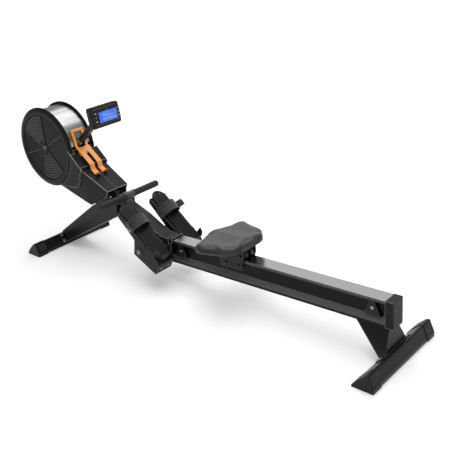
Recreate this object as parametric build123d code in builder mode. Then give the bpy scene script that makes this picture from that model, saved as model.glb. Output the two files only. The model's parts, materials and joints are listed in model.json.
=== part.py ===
from build123d import *
import os
from math import atan2, cos, degrees, hypot, radians, sin, tan

# Air rowing machine: +X runs back along the rail, +Y is the machine's right-hand side, +Z is up.
# The origin lies on the floor, under the middle of the machine.

os.makedirs("parts", exist_ok=True)

# ---------------------------------------------------------------- overall sizes
overall_length = 2486.0
foot_bar_length = 551.0
rail_slope = 2.1
touch_gap = 0.3
running_gap = 0.05

# ---------------------------------------------------------------- fan housing
cover_radius = 230.5
cover_half_width = 90.5
cover_wall = 3.0
rim_depth = 16.0
band_inset = 16.5
fan_bracket_gap = 15.391
fan_spool_gap = 51.853
band_wall = 1.5
band_start = 8.0
band_end = 284.0
fan_inset = 18.0
fan_half_width = 42.0
fan_blades = 24
axle_radius = 8.0
bearing_radius = 17.5
bearing_width = 11.0
fork_inner = 58.0
fork_wall = 5.0
fan_pulley_radius = 24.0
drive_pulley_radius = 62.0
pulley_middle = -48.0
belt_width = 12.0
belt_wall = 2.5

# ---------------------------------------------------------------- feet
foot_depth = 107.0
foot_height = 80.0
foot_cap_length = 66.0
foot_tube_inset = 3.0
foot_corner_radius = 7.0
foot_wall = 2.5
flange_wall = 5.0
front_flange_length = 62.0
front_flange_width = 184.0
rear_flange_length = 52.0
rear_flange_width = 236.0
wheel_radius = 18.0
wheel_width = 18.0
wheel_pin_radius = 4.0

# ---------------------------------------------------------------- front frame
leg_half_width = 70.0
leg_wall = 2.5
neck_half_width = 36.0
neck_wall = 3.0
neck_end = 958.0
end_plate_wall = 8.0
tongue_length = 130.0

# ---------------------------------------------------------------- rail, measured down from its running surface
rail_front_height = 252.0
rail_half_width = 38.5
rail_web_half_width = 22.0
rail_height = 128.0
rail_head = 14.0
rail_ledge_top = 88.0
rail_ledge_bottom = 112.0
rail_wall = 3.0
top_plate_wall = 1.2
end_cap_length = 42.0
end_cap_overlap = 1.8
rail_end_margin = 48.0
stop_wall = 15.0
stop_front_offset = 72.0
stop_rear_offset = 64.0

# ---------------------------------------------------------------- seat
seat_position = 432.0
pad_half_width = 195.0
pad_wall = 44.0
roller_headroom = 14.0
carriage_wall = 4.0
carriage_clearance = 7.5
carriage_half_length = 78.0
carriage_drop = 50.0
top_roller_radius = 22.0
top_roller_spread = 56.0
low_roller_radius = 15.0
low_roller_spread = 40.0
roller_width = 20.0
low_roller_width = 12.0
seat_axle_radius = 5.0

# ---------------------------------------------------------------- handle and strap
pull_slope = 14.0
handle_half_length = 217.0
handle_radius = 18.0
handle_bar_radius = 14.0
handle_x = 643.0
handle_height = 420.0
centre_half_width = 40.0
strap_width = 24.0
strap_wall = 1.6
guide_roller_radius = 12.0
guide_roller_x = 536.0
guide_roller_height = 410.0
spool_x = 285.0
spool_height = 498.0
spool_radius = 30.0
strap_coil_radius = 38.0
spool_flange_radius = 46.0

# ---------------------------------------------------------------- footplates
foot_slope = 39.0
foot_centre = 119.0
toe_half_width = 39.0
heel_half_width = 51.0
plate_length = 359.0
plate_wall = 6.0
heel_x = 1000.0
heel_height = 192.0
box_inner = 57.0
box_outer = 172.0
box_wall = 3.5
strap_band_width = 62.0
strap_band_wall = 3.0
strap_band_rise = 44.0

# ---------------------------------------------------------------- console
console_width = 198.0
console_height = 114.0
console_depth = 34.0
console_tilt = 10.0
console_x = 529.0
console_centre_height = 852.0
arm_half_width = 20.0
arm_wall = 26.0
arm_pivot_x = 287.0
arm_pivot_height = 669.0
button_radius = 4.5
button_travel = 1.5

# ---------------------------------------------------------------- places worked out from the sizes
front_x = -overall_length / 2
rear_x = overall_length / 2
band_radius = cover_radius - band_inset
fan_radius = band_radius - fan_inset
bracket_top = (262, 735)


def fan_centre():
    """Return the fan axis, ahead of the bracket's top and the strap spool and clear of both by their gaps."""
    bracket_reach = band_radius + fan_bracket_gap
    spool_reach = fan_radius + fan_spool_gap
    across_x, across_z = spool_x - bracket_top[0], spool_height - bracket_top[1]
    apart = hypot(across_x, across_z)
    along = (bracket_reach**2 - spool_reach**2 + apart**2) / (2 * apart) / apart
    ahead = (bracket_reach**2 - (along * apart)**2)**0.5 / apart
    return bracket_top[0] + along * across_x + ahead * across_z, bracket_top[1] + along * across_z - ahead * across_x


fan_axis_setback, fan_axis_height = fan_centre()
foot_front_x = front_x + cover_radius - fan_axis_setback


def at(x):
    """Return the X coordinate of a place x behind the front edge of the front foot."""
    return foot_front_x + x


def shifted(points):
    """Move side-view points measured from the front foot's edge into the machine's frame."""
    return [(at(x), z) for x, z in points]


def plate(points, y_low, y_high, mode=Mode.ADD):
    """Extrude a closed side-view outline from y_low to y_high."""
    with BuildSketch(Plane.XZ.offset(-y_high)) as outline:
        with BuildLine():
            Polyline(*points, close=True)
        make_face()
    extrude(outline.sketch, amount=y_high - y_low, mode=mode)


def inset(points, distance):
    """Move every side of an outline inwards by distance (outwards if it is negative)."""
    turn = sum(a[0] * b[1] - b[0] * a[1] for a, b in zip(points, points[1:] + points[:1]))
    sign = 1 if turn > 0 else -1
    lines = []
    for (ax, az), (bx, bz) in zip(points, points[1:] + points[:1]):
        length = hypot(bx - ax, bz - az)
        nx, nz = -sign * (bz - az) / length, sign * (bx - ax) / length
        lines.append((ax + nx * distance, az + nz * distance, bx - ax, bz - az))
    moved = []
    for (px, pz, ux, uz), (qx, qz, vx, vz) in zip(lines[-1:] + lines[:-1], lines):
        along = ((qx - px) * vz - (qz - pz) * vx) / (ux * vz - uz * vx)
        moved.append((px + ux * along, pz + uz * along))
    return moved


def cross_rod(x, z, radius, y_low, y_high, mode=Mode.ADD):
    """Add a round rod along Y from y_low to y_high."""
    with BuildSketch(Plane.XZ.offset(-y_high)) as disc:
        with Locations((x, z)):
            Circle(radius)
    extrude(disc.sketch, amount=y_high - y_low, mode=mode)


def span(side, inner, outer):
    """Return a low and a high Y for the stretch between two distances from the middle, on one side."""
    return (inner, outer) if side > 0 else (-outer, -inner)


def save(builder, name):
    """Label a finished piece and write its file."""
    builder.part.label = name
    export_step(builder.part, f"parts/{name}.step")


fan_x = at(fan_axis_setback)
fan_z = fan_axis_height
rail_x = at(neck_end + end_plate_wall)
rail_direction = Vector(cos(radians(rail_slope)), 0, sin(radians(rail_slope)))
rail_normal = Vector(-sin(radians(rail_slope)), 0, cos(radians(rail_slope)))
rail_length = (rear_x - rail_end_margin - rail_x) / cos(radians(rail_slope))


def rail_point(along, up=0.0, y=0.0):
    """Return a point on the rail's own axes: along it, square to it and sideways."""
    return Vector(rail_x, y, rail_front_height) + rail_direction * along + rail_normal * up


def rail_side_plane(along, y):
    """Return a plane whose local x runs along the rail and local y square to it, at sideways place y."""
    return Plane(origin=rail_point(along, 0, y), x_dir=rail_direction, z_dir=(0, -1, 0))


def rail_plate(points, along, y_low, y_high, mode=Mode.ADD):
    """Extrude an outline given on the rail's own axes from y_low to y_high."""
    with BuildSketch(rail_side_plane(along, y_high)) as outline:
        with BuildLine():
            Polyline(*points, close=True)
        make_face()
    extrude(outline.sketch, amount=y_high - y_low, mode=mode)


def rail_rod(along, up, radius, y_low, y_high, mode=Mode.ADD):
    """Add a round rod along Y at a place on the rail's own axes."""
    with BuildSketch(rail_side_plane(along, y_high)) as disc:
        with Locations((0, up)):
            Circle(radius)
    extrude(disc.sketch, amount=y_high - y_low, mode=mode)


# ================================================================ feet
foot_outline = [
    (0, 0),
    (0, 8),
    (24, 38),
    (62, foot_height - 6),
    (80, foot_height),
    (foot_depth, 20),
    (foot_depth, 0),
]
rear_foot_x = rear_x - foot_depth
tube_half_length = foot_bar_length / 2 - foot_cap_length + 12
cap_inner = foot_bar_length / 2 - foot_cap_length


def upper_edge(edge):
    """Tell the feet's upper long edges, which are rounded, from those near the floor."""
    return edge.center().Z > 30


def foot_outline_at(x, taken_in):
    """Return the feet's rounded-triangle side outline at x, taken in from the end caps' size."""
    return inset([(x + px, pz) for px, pz in foot_outline], taken_in)


for foot_name, foot_x in (("front_foot_tube", foot_front_x), ("rear_foot_tube", rear_foot_x)):
    with BuildPart() as foot_tube:
        plate(foot_outline_at(foot_x, foot_tube_inset), -tube_half_length, tube_half_length)
        fillet(foot_tube.edges().filter_by(Axis.Y).filter_by(upper_edge), radius=foot_corner_radius)
        hollow = foot_outline_at(foot_x, foot_tube_inset + foot_wall)
        plate(hollow, -tube_half_length, tube_half_length, Mode.SUBTRACT)
    save(foot_tube, foot_name)

cap_slot_places = {"front": ((24, 38), (62, foot_height - 6)), "rear": ((80, foot_height), (foot_depth, 20))}


def cap_slots(x, side):
    """Cut three shallow slots into each slanting face of an end cap."""
    middle_y = side * (cap_inner + foot_cap_length / 2 - 4)
    for (ax, az), (bx, bz) in cap_slot_places.values():
        slope = Vector(bx - ax, 0, bz - az).normalized()
        outward = Vector(-slope.Z, 0, slope.X)
        middle = Vector(x + (ax + bx) / 2, middle_y, (az + bz) / 2)
        with BuildSketch(Plane(origin=middle, x_dir=slope, z_dir=outward)) as slots:
            with GridLocations(14, 1, 3, 1):
                SlotOverall(40, 5, rotation=90)
        extrude(slots.sketch, amount=-2, mode=Mode.SUBTRACT)


def make_foot_cap(x, side):
    """Build one moulded end cap with a socket that the foot tube enters."""
    low, high = span(side, cap_inner, foot_bar_length / 2)
    with BuildPart() as cap:
        plate(foot_outline_at(x, 0), low, high)
        fillet(cap.edges().filter_by(Axis.Y).filter_by(upper_edge), radius=foot_corner_radius)
        outer_rim = cap.faces().sort_by(Axis.Y)[-1 if side > 0 else 0].edges()
        fillet(outer_rim.filter_by(lambda e: e.center().Z > 1), radius=4)
        low, high = span(side, cap_inner, cap_inner + 16)
        plate(foot_outline_at(x, foot_tube_inset - touch_gap), low, high, Mode.SUBTRACT)
        low, high = span(side, cap_inner, foot_bar_length / 2 - 4)
        plate(foot_outline_at(x, foot_tube_inset + foot_wall), low, high, Mode.SUBTRACT)
        cap_slots(x, side)
    return cap.part


front_caps = [make_foot_cap(foot_front_x, side) for side in (-1, 1)]
rear_caps = [make_foot_cap(rear_foot_x, side) for side in (-1, 1)]

# The transport wheels sit in notches at the front ends of the front foot's caps.
wheel_x = foot_front_x + 24
wheel_z = wheel_radius + 8
wheel_middle = foot_bar_length / 2 - 26


def wheel_notch(side):
    """Cut the notch that a transport wheel turns in."""
    low, high = span(side, wheel_middle - wheel_width / 2 - 2, wheel_middle + wheel_width / 2 + 2)
    cross_rod(wheel_x, wheel_z, wheel_radius + 3, low, high, Mode.SUBTRACT)


with BuildPart() as front_foot_caps:
    add(front_caps)
    for side in (-1, 1):
        wheel_notch(side)
        low, high = span(side, wheel_middle - wheel_width / 2 - 7, wheel_middle + wheel_width / 2 + 7)
        cross_rod(wheel_x, wheel_z, wheel_pin_radius, low, high)
save(front_foot_caps, "front_foot_caps")

with BuildPart() as rear_foot_caps:
    add(rear_caps)
save(rear_foot_caps, "rear_foot_caps")

for side, side_name in ((-1, "left"), (1, "right")):
    with BuildPart() as transport_wheel:
        low, high = span(side, wheel_middle - wheel_width / 2, wheel_middle + wheel_width / 2)
        cross_rod(wheel_x, wheel_z, wheel_radius, low, high)
        fillet(transport_wheel.edges().filter_by(GeomType.CIRCLE), radius=3)
        cross_rod(wheel_x, wheel_z, wheel_pin_radius + running_gap, low, high, Mode.SUBTRACT)
    save(transport_wheel, f"transport_wheel_{side_name}")

# ================================================================ front leg, fork and neck
rear_face_top = Vector(foot_front_x + 80, 0, foot_height)
rear_face_low = Vector(foot_front_x + foot_depth, 0, 20)
front_face_low = Vector(rear_foot_x + 24, 0, 38)
front_face_top = Vector(rear_foot_x + 62, 0, foot_height - 6)


def face_plane(low, top, lift):
    """Return a plane on a foot's slanting face, lifted off it, with local x up the face and y sideways."""
    up_face = (top - low).normalized()
    sideways = Vector(0, 1, 0)
    outward = sideways.cross(up_face) if up_face.X > 0 else up_face.cross(sideways)
    outward = outward if outward.Z > 0 else -outward
    return Plane(origin=(top + low) / 2 + outward * lift, x_dir=up_face, z_dir=outward)


# The tubes stand in from the caps' outline, so each flange rests on its tube's own face.
front_flange_plane = face_plane(rear_face_low, rear_face_top, -foot_tube_inset)
rear_flange_plane = face_plane(front_face_low, front_face_top, -foot_tube_inset)


def flange(plane, length, width):
    """Build one bolted flange plate with a hole near each corner."""
    with BuildSketch(plane) as flange_outline:
        RectangleRounded(length, width, 5)
    extrude(flange_outline.sketch, amount=flange_wall)


with BuildPart() as foot_flanges:
    flange(front_flange_plane, front_flange_length, front_flange_width)
    flange(rear_flange_plane, rear_flange_length, rear_flange_width)
save(foot_flanges, "foot_flanges")

leg_outline = shifted([(50, 65.1), (407, 330), (512, 384), (560, 394), (606, 376), (606, 308), (96, 18.2)])
fork_radius = 30.0
fork_rod_radius = 12.0
fork_upper = (at(345), 522)
fork_lower = (at(425), 338)
fork_slant = Vector(fork_upper[0] - fan_x, 0, fork_upper[1] - fan_z).normalized()
fork_outline = [fork_lower, *shifted([(530, 384), (552, 392), (552, 420), (500, 424)]), fork_upper]
fork_across = Vector(-fork_slant.Z, 0, fork_slant.X) * fork_radius
fork_arm = [
    (fan_x + fork_across.X, fan_z + fork_across.Z),
    fork_upper,
    fork_lower,
    (fan_x - fork_across.X, fan_z - fork_across.Z),
]

with BuildPart() as front_leg:
    plate(leg_outline, -leg_half_width, leg_half_width)
    plate(inset(leg_outline, leg_wall), leg_wall - leg_half_width, leg_half_width - leg_wall, Mode.SUBTRACT)
    leg_mouth = shifted([(40, 40), (92, 93), (120, 36), (80, 0)])
    plate(inset(leg_mouth, 8), leg_wall - leg_half_width, leg_half_width - leg_wall, Mode.SUBTRACT)
    split(bisect_by=front_flange_plane.offset(flange_wall), keep=Keep.TOP)
    for side in (-1, 1):
        low, high = span(side, fork_inner, fork_inner + fork_wall)
        plate(fork_outline, low, high)
        plate(fork_arm, low, high)
        cross_rod(fan_x, fan_z, fork_radius, low, high)
        cross_rod(fan_x, fan_z, axle_radius, low, high, Mode.SUBTRACT)
    for rod_x, rod_z in ((430, 462), (330, 410)):
        cross_rod(at(rod_x), rod_z, fork_rod_radius, -fork_inner, fork_inner)
    cross_rod(at(spool_x), spool_height, axle_radius, -fork_inner, fork_inner)
    cross_rod(at(guide_roller_x), guide_roller_height, 4, -fork_inner, fork_inner)
save(front_leg, "front_leg")

neck_top = [(606, 372), (650, 358), (754, 320), (850, 272), (900, 252), (neck_end, rail_front_height - 8)]
neck_bottom = [(neck_end, 132), (900, 142), (800, 182), (606, 312)]
neck_outline = shifted(neck_top + neck_bottom)
with BuildPart() as rail_neck:
    plate(neck_outline, -neck_half_width, neck_half_width)
    low, high = neck_wall - neck_half_width, neck_half_width - neck_wall
    plate(inset(neck_outline, neck_wall), low, high, Mode.SUBTRACT)
    plate(shifted([(600, 325), (615, 320), (615, 355), (600, 360)]), low, high, Mode.SUBTRACT)
    with BuildSketch(Plane.YZ.offset(at(neck_end))) as end_plate:
        with Locations((0, rail_front_height - rail_height / 2)):
            RectangleRounded(2 * rail_half_width, rail_height, 6)
    extrude(end_plate.sketch, amount=end_plate_wall)
    tongue_low, tongue_high = -rail_ledge_top + 4, -rail_head - 6
    tongue_outline = [(-4, tongue_low), (tongue_length, tongue_low), (tongue_length, tongue_high), (-4, tongue_high)]
    tongue_half = rail_web_half_width - rail_wall - touch_gap
    rail_plate(tongue_outline, 0, -tongue_half, tongue_half)
save(rail_neck, "rail_neck")

# ================================================================ fan, axle, spool, belt
shaft_end = fork_inner + fork_wall + 8
with BuildPart() as fan_axle:
    cross_rod(fan_x, fan_z, axle_radius, -shaft_end, shaft_end)
    for side in (-1, 1):
        cross_rod(fan_x, fan_z, axle_radius + 5, *span(side, fork_inner + fork_wall, shaft_end - 1))
save(fan_axle, "fan_axle")

fan_disc_wall = 2.5
blade_wall = 2.0
hub_radius = 34.0
fan_middle = 4.0
fan_low = fan_middle - fan_half_width + 10
fan_high = fan_middle + fan_half_width
with BuildPart() as fan_wheel:
    cross_rod(fan_x, fan_z, fan_radius - 16, fan_low, fan_low + fan_disc_wall)
    cross_rod(fan_x, fan_z, hub_radius, fan_low, fan_high)
    for ring_y in (fan_low, fan_high - 4):
        cross_rod(fan_x, fan_z, fan_radius, ring_y, ring_y + 4)
        if ring_y > fan_low:
            cross_rod(fan_x, fan_z, fan_radius - 8, ring_y, ring_y + 4, Mode.SUBTRACT)
    cross_rod(fan_x, fan_z, hub_radius, fan_low, fan_high)
    blade_plane = Plane(origin=(fan_x, fan_high, fan_z), x_dir=(1, 0, 0), z_dir=(0, -1, 0))
    with BuildSketch(blade_plane) as blades:
        with PolarLocations(fan_radius - 24, fan_blades):
            Rectangle(44, blade_wall)
    extrude(blades.sketch, amount=fan_high - fan_low)
    cross_rod(fan_x, fan_z, axle_radius + 3, fan_low, fan_high, Mode.SUBTRACT)
    for bearing_y in (fan_low, fan_high - bearing_width):
        cross_rod(fan_x, fan_z, bearing_radius, bearing_y, bearing_y + bearing_width, Mode.SUBTRACT)
save(fan_wheel, "fan_wheel")

with BuildPart() as fan_bearings:
    for bearing_y in (fan_low, fan_high - bearing_width):
        cross_rod(fan_x, fan_z, bearing_radius, bearing_y, bearing_y + bearing_width)
        bore = axle_radius + running_gap
        cross_rod(fan_x, fan_z, bore, bearing_y, bearing_y + bearing_width, Mode.SUBTRACT)
save(fan_bearings, "fan_bearings")

belt_low = pulley_middle - belt_width / 2
belt_high = pulley_middle + belt_width / 2


def belt_pulley(x, z, radius, bore):
    """Add one belt pulley with a flange each side."""
    for flange_y in (belt_low - 2, belt_high + 0.5):
        cross_rod(x, z, radius + 4, flange_y, flange_y + 1.5)
    cross_rod(x, z, radius, belt_low - 2, belt_high + 2)
    cross_rod(x, z, bore, belt_low - 2, belt_high + 2, Mode.SUBTRACT)


with BuildPart() as fan_pulley:
    belt_pulley(fan_x, fan_z, fan_pulley_radius, axle_radius + running_gap)
save(fan_pulley, "fan_pulley")

spool_half = strap_width / 2 + 1
with BuildPart() as strap_spool:
    belt_pulley(at(spool_x), spool_height, drive_pulley_radius, axle_radius)
    cross_rod(at(spool_x), spool_height, spool_radius, belt_high + 2, spool_half + 3)
    for flange_y in (-spool_half - 3, spool_half):
        cross_rod(at(spool_x), spool_height, spool_flange_radius, flange_y, flange_y + 3)
    cross_rod(at(spool_x), spool_height, strap_coil_radius - touch_gap, -strap_width / 2, strap_width / 2)
    bore = axle_radius + running_gap
    cross_rod(at(spool_x), spool_height, bore, belt_low - 2, spool_half + 3, Mode.SUBTRACT)
save(strap_spool, "strap_spool")


def belt_outline(extra):
    """Return the sketch inside a taut belt around both pulleys, grown by extra."""
    with BuildSketch(Plane.XZ.offset(-belt_high)) as loop:
        with Locations((fan_x, fan_z)):
            Circle(fan_pulley_radius + extra)
        with Locations((at(spool_x), spool_height)):
            Circle(drive_pulley_radius + extra)
        make_hull()
    return loop.sketch


with BuildPart() as drive_belt:
    extrude(belt_outline(touch_gap + belt_wall), amount=belt_width)
    extrude(belt_outline(touch_gap), amount=belt_width, mode=Mode.SUBTRACT)
save(drive_belt, "drive_belt")

pull_direction = Vector(cos(radians(pull_slope)), 0, sin(radians(pull_slope)))
pull_normal = Vector(-sin(radians(pull_slope)), 0, cos(radians(pull_slope)))
guide_centre = Vector(at(guide_roller_x), 0, guide_roller_height)
strap_reach = guide_roller_radius + touch_gap + strap_wall / 2
strap_start = guide_centre - pull_normal * strap_reach

with BuildPart() as guide_roller:
    roller_half = strap_width / 2 + 2
    cross_rod(guide_centre.X, guide_centre.Z, guide_roller_radius, -roller_half, roller_half)
    for side in (-1, 1):
        low, high = span(side, strap_width / 2 + 1, strap_width / 2 + 3)
        cross_rod(guide_centre.X, guide_centre.Z, guide_roller_radius + 3, low, high)
    bore = 4 + running_gap
    cross_rod(guide_centre.X, guide_centre.Z, bore, -roller_half - 1, roller_half + 1, Mode.SUBTRACT)
save(guide_roller, "guide_roller")


def strap_run(start, end, name):
    """Build one straight run of flat webbing between two points on the middle plane."""
    along = (end - start).normalized()
    with BuildPart() as run:
        with BuildSketch(Plane(origin=start, x_dir=(0, 1, 0), z_dir=along)) as webbing:
            Rectangle(strap_width, strap_wall)
        extrude(webbing.sketch, amount=(end - start).length)
    save(run, name)


handle_point = Vector(at(handle_x), 0, handle_height)
clamp_reach = 38.0
strap_along = (handle_point - strap_start).dot(pull_direction) - clamp_reach
strap_run(strap_start, strap_start + pull_direction * strap_along, "pull_strap")

spool_centre = Vector(at(spool_x), 0, spool_height)
between = guide_centre - spool_centre
inner_slope = atan2(between.Z, between.X)
coil_reach = strap_coil_radius + strap_wall / 2 + touch_gap
inner_turn = inner_slope + (coil_reach - strap_reach) / between.length
inner_normal = Vector(-sin(inner_turn), 0, cos(inner_turn))
inner_start = spool_centre - inner_normal * coil_reach
inner_end = guide_centre - inner_normal * strap_reach
strap_run(inner_start, inner_end - (inner_end - inner_start).normalized() * 2, "pull_strap_inner")

# ================================================================ fan housing
with BuildPart() as fan_band:
    band_half = cover_half_width - cover_wall - touch_gap
    with BuildSketch(Plane.XZ.offset(-band_half)) as band_section:
        with BuildLine():
            outer_arc = CenterArc((fan_x, fan_z), band_radius, band_start, band_end - band_start)
            inner_arc = CenterArc((fan_x, fan_z), band_radius - band_wall, band_start, band_end - band_start)
            Line(outer_arc @ 0, inner_arc @ 0)
            Line(outer_arc @ 1, inner_arc @ 1)
        make_face()
    extrude(band_section.sketch, amount=2 * band_half)
save(fan_band, "fan_band")

vent_inner = 62.0
vent_outer = 166.0
vent_count = 8
vent_slot = 5.0
vent_turns = {"upper": (92, 36), "lower": (272, 36)}


def make_fan_cover(side):
    """Build one round cover with a rim over the band and two fans of curved vents."""
    low, high = span(side, cover_half_width - cover_wall, cover_half_width)
    cross_rod(fan_x, fan_z, cover_radius, low, high)
    outer_face = cover_half_width * side
    low, high = span(side, cover_half_width - rim_depth, cover_half_width)
    cross_rod(fan_x, fan_z, cover_radius, low, high)
    outer_edge = fan_cover.edges().filter_by(GeomType.CIRCLE).filter_by(lambda e: abs(e.center().Y - outer_face) < 0.1)
    chamfer(outer_edge, length=7)
    low, high = span(side, cover_half_width - rim_depth - 1, cover_half_width - cover_wall)
    cross_rod(fan_x, fan_z, cover_radius - 8, low, high, Mode.SUBTRACT)
    vent_start = span(side, cover_half_width - cover_wall, cover_half_width)[1] + 1
    vent_plane = Plane(origin=(fan_x, vent_start, fan_z), x_dir=(1, 0, 0), z_dir=(0, -1, 0))
    pitch = (vent_outer - vent_inner) / vent_count
    for start, sweep in vent_turns.values():
        for turn in range(vent_count):
            radius = vent_inner + pitch * (turn + 0.5)
            with BuildSketch(vent_plane) as vent:
                with BuildLine():
                    outside = CenterArc((0, 0), radius + vent_slot / 2, start, sweep)
                    inside = CenterArc((0, 0), radius - vent_slot / 2, start, sweep)
                    Line(outside @ 0, inside @ 0)
                    Line(outside @ 1, inside @ 1)
                make_face()
            extrude(vent.sketch, amount=cover_wall + 3, mode=Mode.SUBTRACT)


for side, side_name in ((-1, "left"), (1, "right")):
    with BuildPart() as fan_cover:
        make_fan_cover(side)
    save(fan_cover, f"fan_cover_{side_name}")

# ================================================================ drive shroud, in two halves
shroud_wall = 3.0
shroud_split = 8.0
body_half_width = 87.0
nose_half_width = 74.0
panel_half_width = 98.0
step = (382, 526)
block_corner = (371, 550)
block_top = (277, 633)
nose_top = (554, 442)
nose_low = (532, 398)
fan_place = (fan_axis_setback, fan_axis_height)
body_outline = [fan_place, block_top, block_corner, step, nose_top, nose_low, (413, 337), (137, 412)]
panel_seam = [(375, 540), (356, 486), (322, 424)]
panel_outline = [fan_place, block_top, block_corner, *panel_seam, (158, 408), (137, 415)]
cover_clearance = 1.0


def taper_cut(side):
    """Trim a shroud half so that it narrows from the step to its nose."""
    points = [(at(step[0]), side * body_half_width), (at(nose_top[0]), side * nose_half_width)]
    points += [(at(nose_top[0] + 20), side * nose_half_width), (at(nose_top[0] + 20), side * 120)]
    points += [(at(step[0]), side * 120)]
    with BuildSketch(Plane.XY.offset(300)) as wedge:
        with BuildLine():
            Polyline(*points, close=True)
        make_face()
    extrude(wedge.sketch, amount=300, mode=Mode.SUBTRACT)


def make_shroud(side):
    """Build one half of the shroud: side wall, top panel, raised block and side panel."""
    split_y = shroud_split / 2
    plate(shifted(body_outline), *span(side, split_y, body_half_width))
    taper_cut(side)
    plate(shifted(panel_outline), *span(side, split_y, panel_half_width))
    inner_body = inset(shifted(body_outline), shroud_wall)
    plate(inner_body, *span(side, 0, nose_half_width - shroud_wall), Mode.SUBTRACT)
    straight_body = [*inner_body[:4], (inner_body[3][0], 352), inner_body[-1]]
    plate(straight_body, *span(side, 0, body_half_width - shroud_wall), Mode.SUBTRACT)
    plate(inset(shifted(panel_outline), shroud_wall), *span(side, 0, panel_half_width - shroud_wall), Mode.SUBTRACT)
    nose_mouth = shifted([(500, 462), (600, 410), (560, 330), (420, 337), (420, 352)])
    plate(nose_mouth, *span(side, 0, nose_half_width - shroud_wall), Mode.SUBTRACT)
    plate(inset(leg_outline, -1), *span(side, 0, leg_half_width + 1), Mode.SUBTRACT)
    for fork_side_view in (fork_outline, fork_arm):
        plate(inset(fork_side_view, -1), *span(side, fork_inner - 1, fork_inner + fork_wall + 1), Mode.SUBTRACT)
    low, high = span(side, band_half - 20, panel_half_width + 5)
    cross_rod(fan_x, fan_z, cover_radius + cover_clearance, low, high, Mode.SUBTRACT)
    cross_rod(fan_x, fan_z, band_radius + cover_clearance, *span(side, 0, band_half), Mode.SUBTRACT)


# ================================================================ bracket, arm and console
clevis_half_width = 21.0
clevis_wall = 4.0
arm_pivot = (at(arm_pivot_x), arm_pivot_height)
bracket_wall = 5.0
bracket_half_width = 42.0
bracket_slot_half_width = 11.0
window_half_width = 27.0
bracket_line = shifted([bracket_top, (289, 644), (395, 560), (399, 531), (430, 511), (440, 520)])
slot_start = (325, 616)
knee = Vector(bracket_line[1][0], 0, bracket_line[1][1])
bracket_slant = (Vector(bracket_line[2][0], 0, bracket_line[2][1]) - knee).normalized()
bracket_inward = Vector(bracket_slant.Z, 0, -bracket_slant.X)


def under_bracket(along, depth):
    """Return a side-view point under the bracket's long slope, along it from the knee and square to it."""
    place = knee + bracket_slant * along + bracket_inward * depth
    return place.X, place.Z


clevis_base = [
    under_bracket(6, bracket_wall),
    under_bracket(44, bracket_wall),
    under_bracket(44, 2 * bracket_wall),
    under_bracket(0, 2 * bracket_wall),
]
clevis_lug = [
    under_bracket(0, 2 * bracket_wall),
    under_bracket(14, 2 * bracket_wall),
    under_bracket(5, bracket_wall),
    (arm_pivot[0] + 13, arm_pivot[1] - 5),
    (arm_pivot[0] - 11, arm_pivot[1] - 9),
]

with BuildPart() as arm_clevis:
    for side in (-1, 1):
        plate(clevis_lug, *span(side, clevis_half_width - clevis_wall, clevis_half_width))
        cross_rod(*arm_pivot, 14, *span(side, clevis_half_width - clevis_wall, clevis_half_width))
    plate(clevis_base, -clevis_half_width, clevis_half_width)
    cross_rod(fan_x, fan_z, band_radius + cover_clearance, -clevis_half_width, clevis_half_width, Mode.SUBTRACT)
    cross_rod(*arm_pivot, 5 + running_gap, -clevis_half_width, clevis_half_width, Mode.SUBTRACT)
save(arm_clevis, "arm_clevis")

for side, side_name in ((-1, "left"), (1, "right")):
    with BuildPart() as shroud:
        make_shroud(side)
    save(shroud, f"shroud_{side_name}")


def spacer(low_start, low_end, x_low, x_high, upper_points):
    """Return the outline of a spacer standing on the shroud's top between two lengthwise places."""
    fall = (low_end[1] - low_start[1]) / (low_end[0] - low_start[0])
    feet = [(x, low_start[1] + fall * (x - low_start[0])) for x in (x_low, x_high)]
    return shifted(feet + upper_points)


upper_spacer = spacer(block_top, block_corner, 307, 322, [(323, 614.4), (307, 626.9)])
lower_spacer = spacer(step, nose_top, 402, 418, [(420, 515.5), (404, 526)])

with BuildPart() as handle_bracket:
    inner_line = inset(bracket_line + [(at(280), 500)], bracket_wall)[:len(bracket_line)]
    plate(bracket_line + inner_line[::-1], -bracket_half_width, bracket_half_width)
    for side in (-1, 1):
        for spacer_outline in (upper_spacer, lower_spacer):
            plate(spacer_outline, *span(side, clevis_half_width + 1, bracket_half_width - 2))
    slot_block = shifted([slot_start, (460, 640), (460, 470), (380, 500)])
    plate(slot_block, -bracket_slot_half_width, bracket_slot_half_width, Mode.SUBTRACT)
    window_block = shifted([(240, 722), (300, 722), (310, 636), (250, 636)])
    plate(window_block, -window_half_width, window_half_width, Mode.SUBTRACT)
save(handle_bracket, "handle_bracket")

console_turn = radians(console_tilt)
console_facing = Vector(cos(console_turn), 0, sin(console_turn))
console_up = Vector(-sin(console_turn), 0, cos(console_turn))
console_centre = Vector(at(console_x), 0, console_centre_height)
console_front = Plane(origin=console_centre, x_dir=(0, 1, 0), z_dir=console_facing)
tilt_pivot = console_centre - console_facing * (console_depth + 14) - console_up * 6
arm_start = Vector(arm_pivot[0], 0, arm_pivot[1])
arm_direction = (tilt_pivot - arm_start).normalized()
arm_length = (tilt_pivot - arm_start).length
arm_plane = Plane(origin=arm_start, x_dir=arm_direction, z_dir=(0, -1, 0))
arm_tongue = clevis_half_width - clevis_wall - touch_gap
hinge_radius = 9.0
arm_setback = 18.0
knuckle_half = 12.0

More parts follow.
